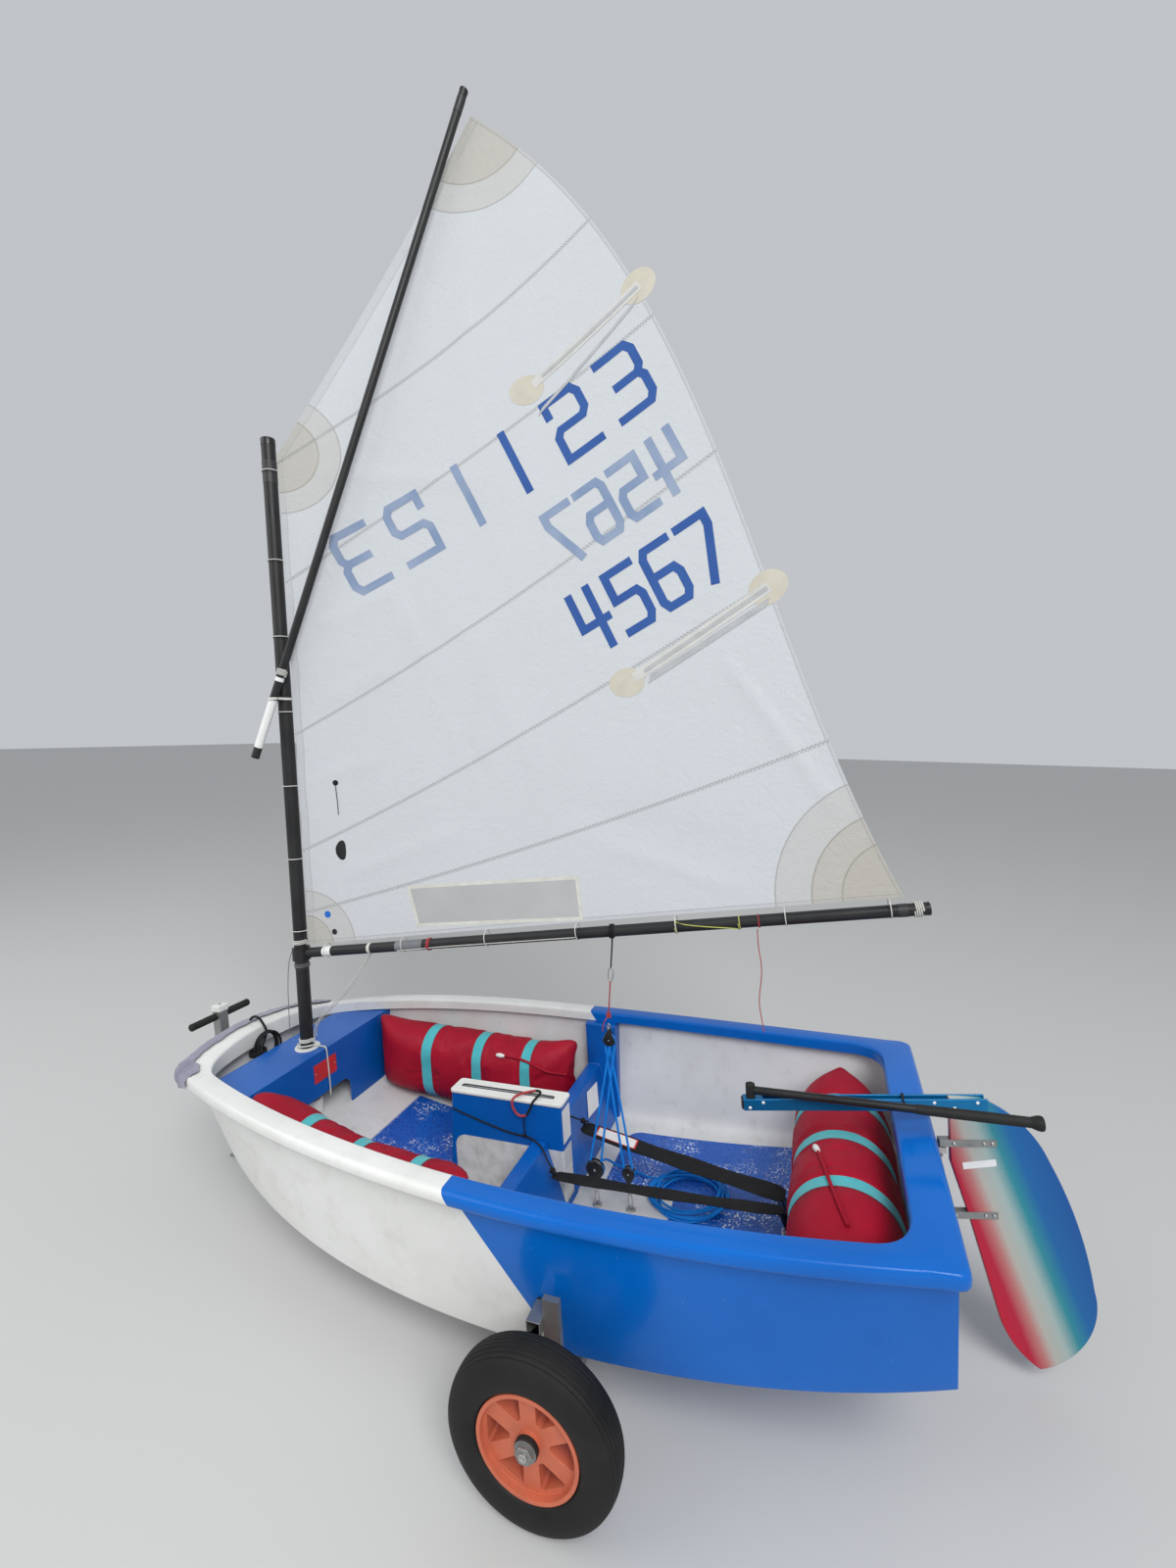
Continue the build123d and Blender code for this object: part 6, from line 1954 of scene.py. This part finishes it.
def makeGrips():
    x, z = grip["bar"]
    y = np.linspace(grip["from"], grip["to"] - 0.004, 90)
    radius = grip["radius"] - 0.0009 + 0.0007 * np.sin((y - grip["from"]) * 2 * pi / 0.0045) ** 2
    radius[:6], radius[-8:] = grip["radius"] - 0.0002, grip["radius"] - 0.0001
    profile = [(grip["from"], 0.001)] + list(zip(y, radius)) + [(grip["to"] - 0.0015, grip["radius"] * 0.86),
            (grip["to"], grip["radius"] * 0.60), (grip["to"], 0.0001)]
    shapes = [sheetOf(turned(profile, (x, 0, z), (0, side, 0), 36), closeV=True) for side in (-1, 1)]
    piece("gripPair", together(*shapes), "hull", "gripRubber", ["handle_grips"], angle=40)
    head = [(0.0, grip["bolt"]), (0.0035, grip["bolt"]), (0.0045, grip["bolt"] * 0.85), (0.0045, 0.0001)]
    piece("handleBolt", sheetOf(turned(head, (x, 0, 0.486), (0, 0, 1), 6), closeV=True), "hull",
          "steel", angle=25)


makeGrips()
print("grips done")

# Oral valves of two bags: a white tip and a red tube that lies on the cloth
valves = {
    "starboard_bagSoft": ((1.404, -0.300, 0.256), (1.387, -0.300, 0.255), (1.354, -0.300, 0.256),
                          (1.290, -0.300, 0.248), (1.235, -0.300, 0.228),
                          (1.203, -0.300, 0.217), (1.165, -0.300, 0.216), (1.129, -0.300, 0.216)),
    "stern_bagSoft": ((0.268, 0.042, 0.300), (0.261, 0.057, 0.300), (0.247, 0.101, 0.300),
                      (0.237, 0.150, 0.300), (0.228, 0.193, 0.300),
                      (0.218, 0.232, 0.300), (0.210, 0.266, 0.300), (0.195, 0.320, 0.300)),
    "diameter": 0.009, "tip": 0.0080, "lift": 0.0052,
}
# the camera in the boat's frame: the valves' places were read along its rays
eye = np.array((0.20213, 1.77816, 1.39875))


def onCloth(tree, points, lift):   # from the camera through each point to the cloth
    found = []
    for point in points:
        way = np.asarray(point) - eye
        hit, normal = tree.ray_cast(Vector(toRow(eye)), Vector(trimTurn @ (way / np.linalg.norm(way))))[:2]
        if hit is None:
            hit, normal = tree.find_nearest(Vector(toRow(point)))[:2]
        found.append(toBoat(np.array(hit) + np.array(normal) * lift))
    return np.array(found)


def makeValves():
    for bagName in ("starboard_bagSoft", "stern_bagSoft"):
        route = onCloth(treeOf(bpy.data.objects[bagName], bpy.data.objects["bagWebbing"]), valves[bagName],
                        valves["lift"])
        short = bagName.split("_")[0]
        cordCurve(short + "ValveTube", route[1:], valves["diameter"], "hull", "bagCloth")
        way = route[0] - route[1]
        way /= np.linalg.norm(way)
        r = valves["tip"]
        profile = [(-0.014, 0.0001), (-0.014, r * 0.70), (-0.004, r * 0.80), (-0.002, r), (0.010, r),
                   (0.013, r * 0.85), (0.020, r * 0.55), (0.022, 0.0001)]
        piece(short + "ValveTip", sheetOf(turned(profile, route[1], way, 28), closeV=True), "hull",
              "plasticWhite", angle=40)


makeValves()

# The sail's small marks: a telltale, a dark patch and two dots near the luff
marks = {
    "patch": ((1.8108, 1.0837), 0.032, 1.75), "blueDot": ((1.8824, 0.8567), 0.0125),
    "blackDot": ((1.8588, 0.7947), 0.0105),
    "telltale": ((1.8222, 1.3217), (1.8205, 1.285), (1.8175, 1.245), (1.8174, 1.2093)), "telltaleDot": 0.010,
    "redHang": ((0.407, -0.1045, 0.8400), (0.409, -0.1040, 0.8000), (0.397, -0.1035, 0.7200),
                (0.413, -0.1040, 0.6300),
                (0.408, -0.1045, 0.5800), (0.401, -0.1040, 0.5340)),
}


def makeMarks():
    centre, radius, squash = marks["patch"]
    bean = discBand(centre, radius * 0.62, squash, 0.0)
    bean[..., 0] += 0.006 * np.cos((bean[..., 1] - centre[1]) / radius * 1.4)
    film("sailDarkPatch", [bean], "plasticBlack")
    film("sailBlackDot", [discBand(*marks["blackDot"], 1.0, 0.0)], "plasticBlack")
    film("sailBlueDot", [discBand(*marks["blueDot"], 1.0, 0.0)], "gelBlue")
    path = np.array(marks["telltale"])
    cordCurve("telltale", onSail(path[:, 0], path[:, 1], 0.0022), 0.0026, "rig", "cordBlack")
    film("telltalePatch", [discBand(path[0], marks["telltaleDot"], 1.0, 0.0)], "plasticBlack")
    hang = cordCurve("boomRedTail", marks["redHang"], 0.0028, "rig", "cordRed")
    curveLength(hang)
    print("red tail", round(curveLength(hang), 4))


makeMarks()
print("valves and marks done")

# Axle nuts
nuts = {"half": 0.0205, "thick": 0.0115, "washer": 0.0245, "stub": 0.0098}


def makeNuts():
    x, _, z = wheels["place"]
    reach = abs(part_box("trolley_axle")[1][1])
    thick, half, stub = nuts["thick"], nuts["half"], nuts["stub"]
    # name, finish, points round and sharp angle, then the profile as places along the axle and radii
    shapes = (
        ("Washer", "zinc", 48, 30, ((0.0006, 0.012), (0.0006, nuts["washer"]), (0.0022, nuts["washer"]),
                                    (0.0022, 0.012))),
        ("Nut", "zinc", 6, 25, ((0.0022, stub), (0.0022, half), (thick - 0.0012, half),
                                (thick + 0.0006, half * 0.90),
                                (thick + 0.0006, stub))),
        ("AxleStub", "steel", 32, 35, ((0.002, stub), (thick + 0.0030, stub), (thick + 0.0040, stub * 0.88),
                                       (thick + 0.0040, 0.0050), (thick + 0.0012, 0.0040),
                                       (thick + 0.0012, 0.0001))),
    )
    for side, sign in (("port", 1), ("starboard", -1)):
        face = (x, sign * (reach - thick), z)
        for name, look, count, angle, profile in shapes:
            shape = sheetOf(turned(profile, face, (0, sign, 0), count), closeV=True)
            piece(side + name, shape, "hull", look, angle=angle)


makeNuts()

# Floor, light and camera
studio = {
    "floorColor": (0.56, 0.56, 0.55), "skyColor": (0.80, 0.83, 0.87), "skyStrength": 0.66,
    "keyPlace": (-3.5, 5.0, 6.5), "keySize": 4.0, "keyPower": 480,
    "fillPlace": (4.5, 3.0, 4.0), "fillSize": 5.0, "fillPower": 110,
    "cameraPlace": (-0.7316, 1.7782, 1.6640), "cameraTurn": (84.968, -0.950, -159.839), "focal": 657.68,
}


def makeStage():
    verts = np.array([(-40, -40, 0), (40, -40, 0), (40, 40, 0), (-40, 40, 0)], float)
    mesh = bpy.data.meshes.new("floor")
    mesh.from_pydata(verts.tolist(), [], [(0, 1, 2, 3)])
    floor = bpy.data.objects.new("floor", mesh)
    bpy.context.scene.collection.objects.link(floor)
    newMaterial("floorPale", studio["floorColor"], 0.8)
    mesh.materials.append(materials["floorPale"])
    world = bpy.data.worlds.new("studio")
    bpy.context.scene.world = world
    world.use_nodes = True
    back = world.node_tree.nodes["Background"]
    back.inputs["Color"].default_value = (*studio["skyColor"], 1)
    back.inputs["Strength"].default_value = studio["skyStrength"]
    for name in ("key", "fill"):
        lamp = bpy.data.lights.new(name, "AREA")
        lamp.energy, lamp.size = studio[name + "Power"], studio[name + "Size"]
        obj = bpy.data.objects.new(name, lamp)
        obj.location = studio[name + "Place"]
        obj.rotation_euler = (Vector((0, 0, 0.8))
                              - Vector(studio[name + "Place"])).to_track_quat("-Z", "Y").to_euler()
        bpy.context.scene.collection.objects.link(obj)


def makeCamera():
    lens = bpy.data.cameras.new("camera")
    lens.sensor_fit, lens.sensor_height, lens.sensor_width = "VERTICAL", 36.0, 27.0
    # focal length in pixels of the 1600 high frame
    lens.lens = studio["focal"] * lens.sensor_height / 1600
    camera = bpy.data.objects.new("camera", lens)
    camera.location = studio["cameraPlace"]
    camera.rotation_euler = [radians(a) for a in studio["cameraTurn"]]
    bpy.context.scene.collection.objects.link(camera)
    bpy.context.scene.camera = camera


makeStage()
makeCamera()
bpy.context.scene.view_settings.view_transform = "Standard"
for cadNode in frame["nodes"].values():      # pieces that no dressed one replaces
    if not cadNode.hide_render and not cadNode.data.materials:
        cadNode.data.materials.append(materials["plasticBlack"])
print("stage done")
